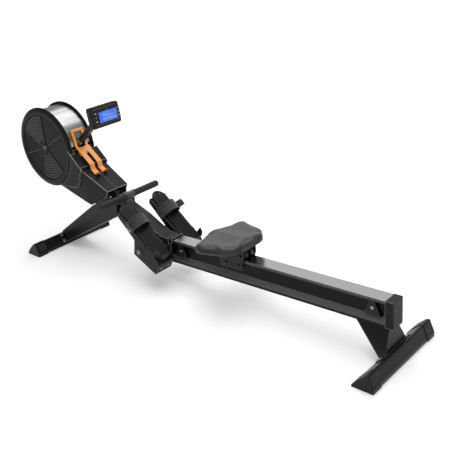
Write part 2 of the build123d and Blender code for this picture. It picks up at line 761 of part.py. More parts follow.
with BuildPart() as monitor_arm:
    with BuildSketch(arm_plane.offset(-arm_half_width)) as arm_side:
        with Locations((arm_length / 2, 0)):
            Rectangle(arm_length - 2 * arm_setback, arm_wall)
    extrude(arm_side.sketch, amount=2 * arm_half_width)
    fillet(monitor_arm.edges().filter_by(lambda e: e.length > arm_length / 2), radius=4)
    with BuildSketch(arm_plane.offset(-arm_tongue)) as arm_root:
        with Locations((7, 0)):
            SlotOverall(14 + 2 * hinge_radius, 2 * hinge_radius)
    extrude(arm_root.sketch, amount=2 * arm_tongue)
    with BuildSketch(arm_plane.offset(-knuckle_half)) as arm_tip:
        with Locations((arm_length - 7, 0)):
            SlotOverall(14 + 2 * hinge_radius, 2 * hinge_radius)
    extrude(arm_tip.sketch, amount=2 * knuckle_half)
    cross_rod(*arm_pivot, 5 + running_gap, -arm_half_width - 5, arm_half_width + 5, Mode.SUBTRACT)
    cross_rod(tilt_pivot.X, tilt_pivot.Z, 4 + running_gap, -arm_half_width, arm_half_width, Mode.SUBTRACT)
save(monitor_arm, "monitor_arm")

screen_width = 126.0
screen_height = 56.0
screen_place = (16, -5)
button_places = {
    "button_top": (14, 32),
    "button_left_upper": (-66, 21),
    "button_left_middle": (-66, 0),
    "button_left_lower": (-66, -22),
    "button_right_upper": (90, 20),
    "button_right_middle": (90, 0),
    "button_right_lower": (90, -20),
}

with BuildPart() as console_case:
    with BuildSketch(console_front) as face_outline:
        RectangleRounded(console_width, console_height, 12)
    extrude(face_outline.sketch, amount=-console_depth)
    fillet(console_case.edges().filter_by(lambda e: e.length > 40), radius=4)
    with BuildSketch(console_front) as screen_recess:
        with Locations(screen_place):
            Rectangle(screen_width, screen_height)
    extrude(screen_recess.sketch, amount=-3, mode=Mode.SUBTRACT)
    with BuildSketch(console_front) as button_wells:
        with Locations(*button_places.values()):
            Circle(button_radius + touch_gap)
    extrude(button_wells.sketch, amount=-8, mode=Mode.SUBTRACT)
    for side in (-1, 1):
        low, high = span(side, knuckle_half + touch_gap, knuckle_half + touch_gap + 5)
        with BuildSketch(Plane(origin=(tilt_pivot.X, high, tilt_pivot.Z), x_dir=console_facing, z_dir=(0, -1, 0))) as ear:
            with Locations((8, 0)):
                SlotOverall(16 + 2 * hinge_radius, 2 * hinge_radius)
        extrude(ear.sketch, amount=high - low)
    cross_rod(tilt_pivot.X, tilt_pivot.Z, 4, -knuckle_half - 5, knuckle_half + 5)
save(console_case, "console_case")

with BuildPart() as console_screen:
    with BuildSketch(console_front.offset(-2.8)) as glass:
        with Locations(screen_place):
            Rectangle(screen_width - 2 * touch_gap, screen_height - 2 * touch_gap)
    extrude(glass.sketch, amount=2)
save(console_screen, "console_screen")

for button_name, place in button_places.items():
    with BuildPart() as button:
        with BuildSketch(console_front.offset(-8 + button_travel + touch_gap)) as cap_outline:
            with Locations(place):
                Circle(button_radius)
        extrude(cap_outline.sketch, amount=8 - touch_gap)
        fillet(button.edges().filter_by(GeomType.CIRCLE).sort_by(Axis.X)[-1], radius=1)
    save(button, button_name)

# ================================================================ handle
with BuildPart() as handle_bar:
    cross_rod(handle_point.X, handle_height, handle_bar_radius, 8 - handle_half_length, handle_half_length - 8)
    cross_rod(handle_point.X, handle_height, handle_bar_radius - 2, 8 - handle_half_length, handle_half_length - 8,
              Mode.SUBTRACT)
save(handle_bar, "handle_bar")

for side, side_name in ((-1, "left"), (1, "right")):
    with BuildPart() as handle_grip:
        low, high = span(side, centre_half_width, handle_half_length)
        cross_rod(handle_point.X, handle_height, handle_radius, low, high)
        end_edge = handle_grip.edges().filter_by(GeomType.CIRCLE).sort_by(Axis.Y)[-1 if side > 0 else 0]
        fillet(end_edge, radius=14)
        low, high = span(side, centre_half_width, handle_half_length - 8)
        cross_rod(handle_point.X, handle_height, handle_bar_radius, low, high, Mode.SUBTRACT)
    save(handle_grip, f"handle_grip_{side_name}")

with BuildPart() as handle_centre:
    cross_rod(handle_point.X, handle_height, handle_radius + 2, -centre_half_width, centre_half_width)
    fillet(handle_centre.edges().filter_by(GeomType.CIRCLE), radius=3)
    clamp_start = handle_point - pull_direction * (clamp_reach + 8)
    with BuildSketch(Plane(origin=clamp_start, x_dir=(0, 1, 0), z_dir=pull_direction)) as clamp:
        Rectangle(strap_width + 10, 22)
    extrude(clamp.sketch, amount=clamp_reach)
    cross_rod(handle_point.X, handle_height, handle_bar_radius, -centre_half_width, centre_half_width, Mode.SUBTRACT)
    clamp_line = strap_start + pull_direction * strap_along
    with BuildSketch(Plane(origin=clamp_line, x_dir=(0, 1, 0), z_dir=-pull_direction)) as strap_slit:
        Rectangle(strap_width, strap_wall)
    extrude(strap_slit.sketch, amount=20, mode=Mode.SUBTRACT)
save(handle_centre, "handle_centre")

# ================================================================ footplates
slope_cos = cos(radians(foot_slope))
slope_sin = sin(radians(foot_slope))
down_plate = Vector(slope_cos, 0, -slope_sin)
off_plate = Vector(slope_sin, 0, slope_cos)
heel_point = Vector(at(heel_x), 0, heel_height)


def foot_side_plane(y):
    """Return a side-view plane with local x from the heel down the slope and local y off the plate."""
    return Plane(origin=heel_point + Vector(0, y, 0), x_dir=down_plate, z_dir=(0, -1, 0))


def foot_top_plane(side, lift=0.0):
    """Return a plane on a footplate's face, local x down the slope and local y towards the right."""
    return Plane(origin=heel_point + off_plate * lift + Vector(0, side * foot_centre, 0), x_dir=down_plate,
                 z_dir=off_plate)


cup_height = 42.0
cup_wall = 4.0
hole_rows = 5
hole_pitch = 15.0
hole_radius = 4.0

for side, side_name in ((-1, "left"), (1, "right")):
    with BuildPart() as footplate:
        with BuildSketch(foot_top_plane(side)) as sole:
            with BuildLine():
                toe_end = -plate_length
                Polyline((-140, toe_half_width), (toe_end + 26, toe_half_width))
                ThreePointArc((toe_end + 26, toe_half_width), (toe_end, 0), (toe_end + 26, -toe_half_width))
                Polyline((toe_end + 26, -toe_half_width), (-140, -toe_half_width), (-70, -heel_half_width),
                         (-40, -heel_half_width))
                ThreePointArc((-40, -heel_half_width), (8, 0), (-40, heel_half_width))
                Polyline((-40, heel_half_width), (-70, heel_half_width), (-140, toe_half_width))
            make_face()
        extrude(sole.sketch, amount=-plate_wall)
        with BuildSketch(foot_top_plane(side)) as cup:
            with BuildLine():
                outer_cup = ThreePointArc((-40, -heel_half_width), (8, 0), (-40, heel_half_width))
                inner_cup = ThreePointArc((-40, -heel_half_width + cup_wall), (8 - cup_wall, 0),
                                          (-40, heel_half_width - cup_wall))
                Line(outer_cup @ 0, inner_cup @ 0)
                Line(outer_cup @ 1, inner_cup @ 1)
            make_face()
        extrude(cup.sketch, amount=cup_height)
        with BuildSketch(foot_top_plane(side)) as holes:
            with Locations((-plate_length + 22 + hole_pitch * (hole_rows - 1) / 2, 0)):
                with GridLocations(hole_pitch, 34, hole_rows, 2):
                    Circle(hole_radius)
        extrude(holes.sketch, amount=-plate_wall, mode=Mode.SUBTRACT)
    save(footplate, f"footplate_{side_name}")

box_outline_points = [(738, 398), (998, 187), (1004, 160), (978, 106), (828, 182), (841, 268), (733, 372)]
boss_place = (at(868), 205)

for side, side_name in ((-1, "left"), (1, "right")):
    with BuildPart() as foot_box:
        top_lift = -plate_wall - touch_gap
        plate(shifted(box_outline_points), *span(side, box_inner, box_outer))
        with BuildSketch(foot_side_plane(side * box_outer if side > 0 else -box_inner)) as above_plate:
            with Locations((-200, 100 + top_lift)):
                Rectangle(600, 200)
        extrude(above_plate.sketch, amount=box_outer - box_inner, mode=Mode.SUBTRACT)
        hollow = inset(shifted(box_outline_points), box_wall + 4)
        plate(hollow, *span(side, box_inner, box_outer - box_wall), Mode.SUBTRACT)
        cross_rod(*boss_place, 20, *span(side, neck_half_width, box_outer))
        cross_rod(*boss_place, 24, *span(side, box_outer, box_outer + 4))
    save(foot_box, f"foot_box_{side_name}")

band_middle = -plate_length + 128
band_half_span = (box_outer - box_inner) / 2
band_centre = (box_outer + box_inner) / 2


def strap_arch(plane, grow):
    """Return a flattened arch over the foot, grown outwards by grow, with straight legs down its sides."""
    half_span = band_half_span + touch_gap + grow
    with BuildSketch(plane) as arch:
        with BuildLine():
            left_leg = Line((-half_span, -26), (-half_span, 8))
            right_leg = Line((half_span, 8), (half_span, -26))
            ThreePointArc(left_leg @ 1, (0, strap_band_rise + grow), right_leg @ 0)
            Line(right_leg @ 1, left_leg @ 0)
        make_face()
    return arch.sketch


for side, side_name in ((-1, "left"), (1, "right")):
    band_origin = heel_point + down_plate * (band_middle - strap_band_width / 2) + Vector(0, side * band_centre, 0)
    band_plane = Plane(origin=band_origin, x_dir=(0, 1, 0), z_dir=down_plate)
    with BuildPart() as foot_strap:
        extrude(strap_arch(band_plane, strap_band_wall), amount=strap_band_width)
        extrude(strap_arch(band_plane, 0), amount=strap_band_width, mode=Mode.SUBTRACT)
    save(foot_strap, f"foot_strap_{side_name}")

with BuildPart() as strap_buckles:
    for side in (-1, 1):
        buckle_y = side * (box_outer + touch_gap + strap_band_wall)
        buckle_place = heel_point + down_plate * (band_middle + 4) + Vector(0, buckle_y, 0) - off_plate * 10
        with BuildSketch(Plane(origin=buckle_place, x_dir=down_plate, z_dir=(0, side, 0))) as buckle:
            RectangleRounded(26, 30, 4)
            with Locations((0, 6)):
                Rectangle(16, 4, mode=Mode.SUBTRACT)
            with Locations((0, -6)):
                Rectangle(16, 4, mode=Mode.SUBTRACT)
        extrude(buckle.sketch, amount=3)
save(strap_buckles, "strap_buckles")

# ================================================================ centre cover
cover_gap = 1.0
cover_skin = 3.0
skirt_drop = 40.0
cover_half = neck_half_width + cover_gap + cover_skin
cover_top = [(x, z + cover_gap + cover_skin) for x, z in neck_top]
cover_top[0] = (610, cover_top[0][1])
cover_top[-1] = (neck_end - 1, rail_front_height)
cover_outline = shifted(cover_top + [(x, z - skirt_drop) for x, z in reversed(cover_top)])
cover_hollow = shifted([(600, neck_top[0][1] + cover_gap + 2), *[(x, z + cover_gap) for x, z in neck_top[1:-1]],
                        (neck_end, neck_top[-1][1] + cover_gap), (neck_end, 150), (600, 250)])
with BuildPart() as centre_cover:
    plate(cover_outline, -cover_half, cover_half)
    plate(cover_hollow, cover_skin - cover_half, cover_half - cover_skin, Mode.SUBTRACT)
save(centre_cover, "centre_cover")

# ================================================================ rail
rail_run = rail_length - end_cap_length
ledge = rail_half_width
web = rail_web_half_width
right_half = [
    (ledge, -top_plate_wall),
    (ledge, -rail_head),
    (web, -rail_head),
    (web, -rail_ledge_top),
    (ledge, -rail_ledge_bottom),
    (ledge, -rail_height),
]
rail_section = right_half + [(-y, z) for y, z in reversed(right_half)]
hollow_half = [
    (web - rail_wall, -rail_head - rail_wall),
    (web - rail_wall, -rail_ledge_top - 1),
    (ledge - rail_wall, -rail_ledge_bottom - 1),
    (ledge - rail_wall, -rail_height + rail_wall),
]
rail_hollow = hollow_half + [(-y, z) for y, z in reversed(hollow_half)]
head_half = [(ledge - rail_wall, -top_plate_wall - rail_wall), (ledge - rail_wall, -rail_head + rail_wall)]
head_hollow = head_half + [(-y, z) for y, z in reversed(head_half)]


def rail_cross_plane(along):
    """Return a plane square to the rail, with local x to the right and local y square to its top."""
    return Plane(origin=rail_point(along), x_dir=(0, 1, 0), z_dir=rail_direction)


def rail_extrude(points, start, length, mode=Mode.ADD):
    """Extrude a cross-section of the rail from start over length."""
    with BuildSketch(rail_cross_plane(start)) as section:
        with BuildLine():
            Polyline(*points, close=True)
        make_face()
    extrude(section.sketch, amount=length, mode=mode)


with BuildPart() as rail:
    rail_extrude(rail_section, touch_gap, rail_run - touch_gap)
    rail_extrude(rail_hollow, 0, rail_run, Mode.SUBTRACT)
    rail_extrude(head_hollow, 0, rail_run, Mode.SUBTRACT)
save(rail, "rail")

with BuildPart() as rail_top_plate:
    top_corners = [(-ledge, -top_plate_wall), (ledge, -top_plate_wall), (ledge, 0), (-ledge, 0)]
    rail_extrude(top_corners, touch_gap, rail_run - touch_gap)
save(rail_top_plate, "rail_top_plate")

with BuildPart() as rail_end_cap:
    cap_half = ledge + end_cap_overlap
    cap_corners = [(-cap_half, -rail_height), (cap_half, -rail_height), (cap_half, end_cap_overlap),
                   (-cap_half, end_cap_overlap)]
    rail_extrude(cap_corners, rail_run, end_cap_length)
    fillet(rail_end_cap.edges().filter_by(lambda e: e.center().X > at(0) and e.length > 30).sort_by(Axis.X)[-4:],
           radius=3)
    rail_extrude(inset(cap_corners, 4), rail_run, end_cap_length - 4, Mode.SUBTRACT)
save(rail_end_cap, "rail_end_cap")

stop_outline = [(-40, -rail_ledge_top + 1), (-12, -16), (10, -16), (40, -rail_ledge_top + 1)]
with BuildPart() as rail_stops:
    for stop_along in (stop_front_offset, rail_run - stop_rear_offset):
        for side in (-1, 1):
            rail_plate(stop_outline, stop_along, *span(side, web, web + stop_wall))
save(rail_stops, "rail_stops")

# ================================================================ rear leg
leg_top_half_x = 82.0
leg_top_half_y = 36.0
leg_low_half_x = 22.0
leg_low_half_y = 88.0
rear_leg_wall = 3.0
leg_setback = 104.0
leg_top_origin = rail_point(rail_length - leg_setback, -rail_height)
leg_top_plane = Plane(origin=leg_top_origin, x_dir=rail_direction, z_dir=-rail_normal)
leg_low_plane = rear_flange_plane.offset(flange_wall)


def leg_loft(taken_in, mode=Mode.ADD):
    """Loft the rear leg from its top under the rail to its foot flange."""
    with BuildSketch(leg_top_plane) as top_outline:
        Rectangle(2 * (leg_top_half_x - taken_in), 2 * (leg_top_half_y - taken_in))
    with BuildSketch(leg_low_plane) as low_outline:
        Rectangle(2 * (leg_low_half_x - taken_in), 2 * (leg_low_half_y - taken_in))
    loft([top_outline.sketch, low_outline.sketch], ruled=True, mode=mode)


with BuildPart() as rear_leg:
    leg_loft(0)
    leg_loft(rear_leg_wall, Mode.SUBTRACT)
save(rear_leg, "rear_leg")

# ================================================================ seat
pad_lift = 2 * top_roller_radius + roller_headroom
carriage_half_width = rail_half_width + carriage_clearance + carriage_wall
pad_plan = [(-176, 0), (-112, pad_half_width), (42, 157), (97, 95)]


def seat_top_plane(up):
    """Return a plane over the rail at the seat's middle, local x along the rail and local y to the right."""
    return Plane(origin=rail_point(seat_position, up), x_dir=rail_direction, z_dir=rail_normal)


with BuildPart() as seat_pad:
    with BuildSketch(seat_top_plane(pad_lift)) as pad_outline:
        with BuildLine():
            Polyline(*pad_plan, *[(x, -y) for x, y in reversed(pad_plan[1:])], close=True)
        make_face()
        fillet(pad_outline.vertices().filter_by(lambda v: v.Y > 100 or v.Y < -100), radius=32)
        fillet(pad_outline.vertices().sort_by(Axis.X)[-2:], radius=24)
    extrude(pad_outline.sketch, amount=pad_wall)
    fillet(seat_pad.edges().group_by(Axis.Z)[-1], radius=12)
save(seat_pad, "seat_pad")

side_outline = [
    (-carriage_half_length, pad_lift - touch_gap),
    (carriage_half_length, pad_lift - touch_gap),
    (carriage_half_length, 20),
    (carriage_half_length - 24, -carriage_drop),
    (-carriage_half_length + 6, -carriage_drop),
    (-carriage_half_length, -20),
]
carriage_inner = carriage_half_width - carriage_wall
top_axle_up = top_roller_radius + touch_gap
low_axle_up = -rail_head - low_roller_radius - touch_gap
axle_end = carriage_half_width + 6

with BuildPart() as seat_carriage:
    rail_plate(side_outline, seat_position, -carriage_half_width, carriage_half_width)
    carriage_hollow = [(-120, -80), (120, -80), (120, pad_lift - 5), (-120, pad_lift - 5)]
    rail_plate(carriage_hollow, seat_position, -carriage_inner, carriage_inner, Mode.SUBTRACT)
    for side in (-1, 1):
        low, high = span(side, carriage_inner, carriage_half_width)
        for along in (-top_roller_spread, top_roller_spread):
            rail_rod(seat_position + along, top_axle_up, seat_axle_radius, low, high, Mode.SUBTRACT)
        for along in (-low_roller_spread, low_roller_spread):
            rail_rod(seat_position + along, low_axle_up, 4, low, high, Mode.SUBTRACT)
save(seat_carriage, "seat_carriage")

with BuildPart() as seat_axles:
    for along in (-top_roller_spread, top_roller_spread):
        rail_rod(seat_position + along, top_axle_up, seat_axle_radius, -axle_end, axle_end)
        for side in (-1, 1):
            rail_rod(seat_position + along, top_axle_up, 8, *span(side, carriage_half_width, axle_end))
    for along in (-low_roller_spread, low_roller_spread):
        for side in (-1, 1):
            rail_rod(seat_position + along, low_axle_up, 4, *span(side, web + 2, axle_end))
            rail_rod(seat_position + along, low_axle_up, 7, *span(side, carriage_half_width, axle_end))
save(seat_axles, "seat_axles")


def roller_pair(along, up, radius, bore, inner, outer):
    """Build a left and a right roller on one line across the rail."""
    for side in (-1, 1):
        rail_rod(seat_position + along, up, radius, *span(side, inner, outer))
        rail_rod(seat_position + along, up, bore, *span(side, inner, outer), Mode.SUBTRACT)


for row_name, direction in (("front", -1), ("rear", 1)):
    with BuildPart() as top_rollers:
        roller_pair(direction * top_roller_spread, top_axle_up, top_roller_radius, seat_axle_radius + running_gap,
                    12, 12 + roller_width)
    save(top_rollers, f"top_rollers_{row_name}")
    with BuildPart() as low_rollers:
        roller_pair(direction * low_roller_spread, low_axle_up, low_roller_radius, 4 + running_gap,
                    web + 5, web + 5 + low_roller_width)
    save(low_rollers, f"low_rollers_{row_name}")

# ================================================================ bolts
bolt_head_radius = 6.5
bolt_head_height = 5.0


def bolt_head(plane):
    """Add one domed bolt head standing on a plane."""
    with BuildSketch(plane) as head:
        Circle(bolt_head_radius)
    extrude(head.sketch, amount=bolt_head_height)


with BuildPart() as frame_bolts:
    for side in (-1, 1):
        for up_face in (-18, 18):
            bolt_head(front_flange_plane.offset(flange_wall) * Location((up_face, side * 81, 0)))
        bolt_head(rear_flange_plane.offset(flange_wall) * Location((0, side * 104, 0)))
    pivot_end = clevis_half_width + bolt_head_height
    cross_rod(*arm_pivot, 5, -clevis_half_width, clevis_half_width)
    for side in (-1, 1):
        cross_rod(*arm_pivot, bolt_head_radius + 1, *span(side, clevis_half_width, pivot_end))
        cross_rod(*boss_place, bolt_head_radius + 2, *span(side, box_outer + 4, box_outer + 4 + bolt_head_height))
        for stop_along in (stop_front_offset, rail_run - stop_rear_offset):
            rail_rod(stop_along, -50, bolt_head_radius, *span(side, web + stop_wall, web + stop_wall + 3))
save(frame_bolts, "frame_bolts")
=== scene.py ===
import bpy
import bmesh
import json
from math import atan2, cos, exp, pi, radians, sin
from mathutils import Matrix, Vector, noise
from mathutils.bvhtree import BVHTree


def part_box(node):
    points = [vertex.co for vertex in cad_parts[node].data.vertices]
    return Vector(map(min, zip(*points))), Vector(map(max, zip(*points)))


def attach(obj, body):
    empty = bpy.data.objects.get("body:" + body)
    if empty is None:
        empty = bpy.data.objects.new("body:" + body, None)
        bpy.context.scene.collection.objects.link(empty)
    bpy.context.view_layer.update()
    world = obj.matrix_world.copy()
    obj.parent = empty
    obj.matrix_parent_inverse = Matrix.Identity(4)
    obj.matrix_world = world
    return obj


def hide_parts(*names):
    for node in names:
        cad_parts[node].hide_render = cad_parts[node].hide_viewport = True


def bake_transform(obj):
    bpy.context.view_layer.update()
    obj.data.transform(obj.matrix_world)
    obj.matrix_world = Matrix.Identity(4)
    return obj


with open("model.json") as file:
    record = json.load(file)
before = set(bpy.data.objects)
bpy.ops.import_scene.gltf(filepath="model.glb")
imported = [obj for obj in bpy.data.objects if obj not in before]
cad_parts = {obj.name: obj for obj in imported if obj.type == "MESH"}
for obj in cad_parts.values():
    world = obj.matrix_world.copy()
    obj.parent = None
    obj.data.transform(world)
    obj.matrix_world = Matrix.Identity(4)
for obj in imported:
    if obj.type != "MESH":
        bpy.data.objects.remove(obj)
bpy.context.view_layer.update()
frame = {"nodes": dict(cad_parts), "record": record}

scene = bpy.context.scene
scene.view_settings.view_transform = "Standard"
Y_AXIS = Vector((0, 1, 0))

# ---------------------------------------------------------------- camera
CAMERA_PLACE = Vector((2.481, -2.5242, 1.9288))
CAMERA_YAW = radians(-41.514)
CAMERA_PITCH = radians(-24.247)
CAMERA_ROLL = radians(-3.358)
LENS_MM = 60.3
SENSOR_WIDTH_MM = 36.0
FURTHEST_SEEN = 50.0


def make_camera():
    """Place the camera at the photograph's viewing angle."""
    ahead = Vector((sin(CAMERA_YAW) * cos(CAMERA_PITCH), cos(CAMERA_YAW) * cos(CAMERA_PITCH),
                    sin(CAMERA_PITCH)))
    level_right = ahead.cross(Vector((0, 0, 1))).normalized()
    level_up = level_right.cross(ahead)
    right = level_right * cos(CAMERA_ROLL) + level_up * sin(CAMERA_ROLL)
    up = level_up * cos(CAMERA_ROLL) - level_right * sin(CAMERA_ROLL)
    data = bpy.data.cameras.new("view_camera")
    data.lens = LENS_MM
    data.sensor_width = SENSOR_WIDTH_MM
    data.clip_end = FURTHEST_SEEN
    camera = bpy.data.objects.new("view_camera", data)
    scene.collection.objects.link(camera)
    camera.matrix_world = Matrix((
        (right.x, up.x, -ahead.x, CAMERA_PLACE.x),
        (right.y, up.y, -ahead.y, CAMERA_PLACE.y),
        (right.z, up.z, -ahead.z, CAMERA_PLACE.z),
        (0, 0, 0, 1),
    ))
    scene.camera = camera


make_camera()


# ---------------------------------------------------------------- materials
def new_material(name):
    """Return a material with its node tree, its shader and a small helper that adds and links nodes."""
    material = bpy.data.materials.new(name)
    material.use_nodes = True
    tree = material.node_tree
    return material, tree, tree.nodes["Principled BSDF"]


def add_node(tree, kind, inputs=None, **settings):
    """Add a shader node, set its properties, and set or link its inputs."""
    node = tree.nodes.new(kind)
    for key, value in settings.items():
        setattr(node, key, value)
    for key, value in (inputs or {}).items():
        if isinstance(value, bpy.types.NodeSocket):
            tree.links.new(value, node.inputs[key])
        else:
            node.inputs[key].default_value = value
    return node


def ramp(tree, factor, stops, mode="LINEAR"):
    """Add a colour ramp with the given (place, colour) stops."""
    node = add_node(tree, "ShaderNodeValToRGB", {"Fac": factor})
    node.color_ramp.interpolation = mode
    points = node.color_ramp.elements
    while len(points) < len(stops):
        points.new(0.5)
    for point, (place, colour) in zip(points, stops):
        point.position = place
        point.color = (*colour, 1) if len(colour) == 3 else colour
    return node.outputs["Color"]


def grey(value):
    return (value, value, value)


def edge_mask(tree, radius, full=0.80):
    """Return a rounded-edge normal and a mask that is bright along an object's edges, used to paint a
    highlight there.
    """
    bevel = add_node(tree, "ShaderNodeBevel", {"Radius": radius}, samples=6)
    geometry = add_node(tree, "ShaderNodeNewGeometry")
    facing = add_node(tree, "ShaderNodeVectorMath",
                      {0: bevel.outputs["Normal"], 1: geometry.outputs["Normal"]}, operation="DOT_PRODUCT")
    mask = ramp(tree, facing.outputs["Value"], [(full, grey(1.0)), (0.995, grey(0.0))])
    return bevel.outputs["Normal"], mask


def moulded(name, colour, roughness=0.5, grain=900.0, depth=0.15, spread=0.12, edge=0.0015, edge_highlight_strength=0.35,
            edge_highlight_colour=None, metallic=0.0, coat=0.0, specular=0.5, full=0.80):
    """A moulded or painted surface: fine grain, slow colour change, and a painted highlight that lightens its
    edges.
    """
    material, tree, shader = new_material(name)
    place = add_node(tree, "ShaderNodeTexCoord").outputs["Object"]
    slow = add_node(tree, "ShaderNodeTexNoise",
                    {"Vector": place, "Scale": 7.0, "Detail": 4.0, "Roughness": 0.6})
    fine = add_node(tree, "ShaderNodeTexNoise", {"Vector": place, "Scale": grain, "Detail": 2.0})
    dark = tuple(c * (1 - spread) for c in colour)
    light = tuple(min(1.0, c * (1 + spread)) for c in colour)
    body = ramp(tree, slow.outputs["Fac"], [(0.3, dark), (0.7, light)])
    normal, mask = edge_mask(tree, edge, full)
    # Painted highlight: the edges are mixed toward this lighter colour, standing in for light caught on them.
    highlight_colour = edge_highlight_colour or tuple(min(1.0, c * 2.6 + 0.03) for c in colour)
    amount = add_node(tree, "ShaderNodeMath", {0: mask, 1: edge_highlight_strength}, operation="MULTIPLY")
    mix = add_node(tree, "ShaderNodeMix", {"Factor": amount.outputs[0], 6: body, 7: (*highlight_colour, 1)},
                   data_type="RGBA")
    rough = add_node(tree, "ShaderNodeMapRange", {"Value": slow.outputs["Fac"], "To Min": roughness - 0.06,
                                                  "To Max": roughness + 0.08})
    bump = add_node(tree, "ShaderNodeBump",
                    {"Height": fine.outputs["Fac"], "Strength": depth, "Distance": 0.0004,
                                             "Normal": normal})
    tree.links.new(mix.outputs[2], shader.inputs["Base Color"])
    tree.links.new(rough.outputs["Result"], shader.inputs["Roughness"])
    tree.links.new(bump.outputs["Normal"], shader.inputs["Normal"])
    shader.inputs["Metallic"].default_value = metallic
    shader.inputs["Coat Weight"].default_value = coat
    shader.inputs["Specular IOR Level"].default_value = specular
    return material


def brushed(name, colour, roughness, stretch, contrast=0.25, anisotropic=0.5, coarse=1.0):
    """Brushed metal: streaks stretched along one direction of the object's own coordinates."""
    material, tree, shader = new_material(name)
    place = add_node(tree, "ShaderNodeTexCoord").outputs["Object"]
    scaled = add_node(tree, "ShaderNodeMapping", {"Vector": place, "Scale": stretch})
    streak = add_node(tree, "ShaderNodeTexNoise",
                      {"Vector": scaled.outputs[0], "Scale": 60.0 * coarse, "Detail": 8.0,
                                                   "Roughness": 0.7})
    dark = tuple(c * (1 - contrast) for c in colour)
    body = ramp(tree, streak.outputs["Fac"], [(0.3, dark), (0.7, colour)])
    rough = add_node(tree, "ShaderNodeMapRange", {"Value": streak.outputs["Fac"], "To Min": roughness * 0.7,
                                                  "To Max": roughness * 1.35})
    normal, _ = edge_mask(tree, 0.001)
    bump = add_node(tree, "ShaderNodeBump",
                    {"Height": streak.outputs["Fac"], "Strength": 0.12, "Distance": 0.0003,
                                             "Normal": normal})
    tree.links.new(body, shader.inputs["Base Color"])
    tree.links.new(rough.outputs["Result"], shader.inputs["Roughness"])
    tree.links.new(bump.outputs["Normal"], shader.inputs["Normal"])
    shader.inputs["Metallic"].default_value = 1.0
    shader.inputs["Anisotropic"].default_value = anisotropic
    return material


def banded_metal(name):
    """The fan band: stainless sheet with soft streaks that run across the drum."""
    material, tree, shader = new_material(name)
    place = add_node(tree, "ShaderNodeTexCoord").outputs["Object"]
    fine_place = add_node(tree, "ShaderNodeMapping", {"Vector": place, "Scale": (110.0, 1.5, 110.0)})
    fine = add_node(tree, "ShaderNodeTexNoise", {"Vector": fine_place.outputs[0], "Scale": 1.0, "Detail": 6.0,
                                                 "Roughness": 0.7})
    broad_place = add_node(tree, "ShaderNodeMapping", {"Vector": place, "Scale": (26.0, 0.8, 26.0)})
    broad = add_node(tree, "ShaderNodeTexNoise",
                     {"Vector": broad_place.outputs[0], "Scale": 1.0, "Detail": 3.0})
    tone = add_node(tree, "ShaderNodeMath", {0: fine.outputs["Fac"], 1: broad.outputs["Fac"]},
                    operation="ADD")
    body = ramp(tree, tone.outputs[0], [(0.80, grey(0.34)), (0.98, grey(0.47)), (1.15, grey(0.58))])
    rough = add_node(tree, "ShaderNodeMapRange",
                     {"Value": fine.outputs["Fac"], "To Min": 0.22, "To Max": 0.42})
    bump = add_node(tree, "ShaderNodeBump",
                    {"Height": fine.outputs["Fac"], "Strength": 0.2, "Distance": 0.0004})
    tree.links.new(body, shader.inputs["Base Color"])
    tree.links.new(rough.outputs["Result"], shader.inputs["Roughness"])
    tree.links.new(bump.outputs["Normal"], shader.inputs["Normal"])
    shader.inputs["Metallic"].default_value = 1.0
    return material


RAIL_SLOPE = radians(2.1)
rail_high = Vector(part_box("rail_top_plate")[1])
RAIL_RUN = Vector((cos(RAIL_SLOPE), 0, sin(RAIL_SLOPE)))
RAIL_UP = Vector((-sin(RAIL_SLOPE), 0, cos(RAIL_SLOPE)))
RAIL_HEIGHT = 0.128
rail_top_rear = Vector((rail_high.x, 0, rail_high.z))


def rail_metal(name):
    """The rail's extrusion, banded by height: painted shade darkens the recessed web, and painted light
    brightens the ledge and the head.
    """
    material, tree, shader = new_material(name)
    place = add_node(tree, "ShaderNodeTexCoord").outputs["Object"]
    height = add_node(tree, "ShaderNodeVectorMath", {0: place, 1: tuple(RAIL_UP)}, operation="DOT_PRODUCT")
    top = rail_top_rear.dot(RAIL_UP)
    down = add_node(tree, "ShaderNodeMapRange",
                    {"Value": height.outputs["Value"], "From Min": top - RAIL_HEIGHT,
                                                 "From Max": top})
    # Painted shade and light by height: a near-black web where the recess lies in shade, a lighter ledge and
    # head where light catches them.
    stops = [(0.0, grey(0.008)), (0.10, grey(0.09)), (0.125, grey(0.13)), (0.315, grey(0.003)),
             (0.89, grey(0.07))]
    body = ramp(tree, down.outputs["Result"], stops, "CONSTANT")
    long_place = add_node(tree, "ShaderNodeMapping", {"Vector": place, "Scale": (4.0, 500.0, 500.0)})
    streak = add_node(tree, "ShaderNodeTexNoise",
                      {"Vector": long_place.outputs[0], "Scale": 1.0, "Detail": 5.0})
    shade = add_node(tree, "ShaderNodeMapRange",
                     {"Value": streak.outputs["Fac"], "To Min": 0.8, "To Max": 1.15})
    mix = add_node(tree, "ShaderNodeVectorMath", {0: body, "Scale": shade.outputs["Result"]},
                   operation="SCALE")
    rough = add_node(tree, "ShaderNodeMapRange",
                     {"Value": streak.outputs["Fac"], "To Min": 0.28, "To Max": 0.5})
    normal, _ = edge_mask(tree, 0.0012)
    bump = add_node(tree, "ShaderNodeBump",
                    {"Height": streak.outputs["Fac"], "Strength": 0.1, "Distance": 0.0003,
                                             "Normal": normal})
    tree.links.new(mix.outputs[0], shader.inputs["Base Color"])
    tree.links.new(rough.outputs["Result"], shader.inputs["Roughness"])
    tree.links.new(bump.outputs["Normal"], shader.inputs["Normal"])
    shader.inputs["Metallic"].default_value = 0.4
    shader.inputs["Specular IOR Level"].default_value = 0.2
    return material


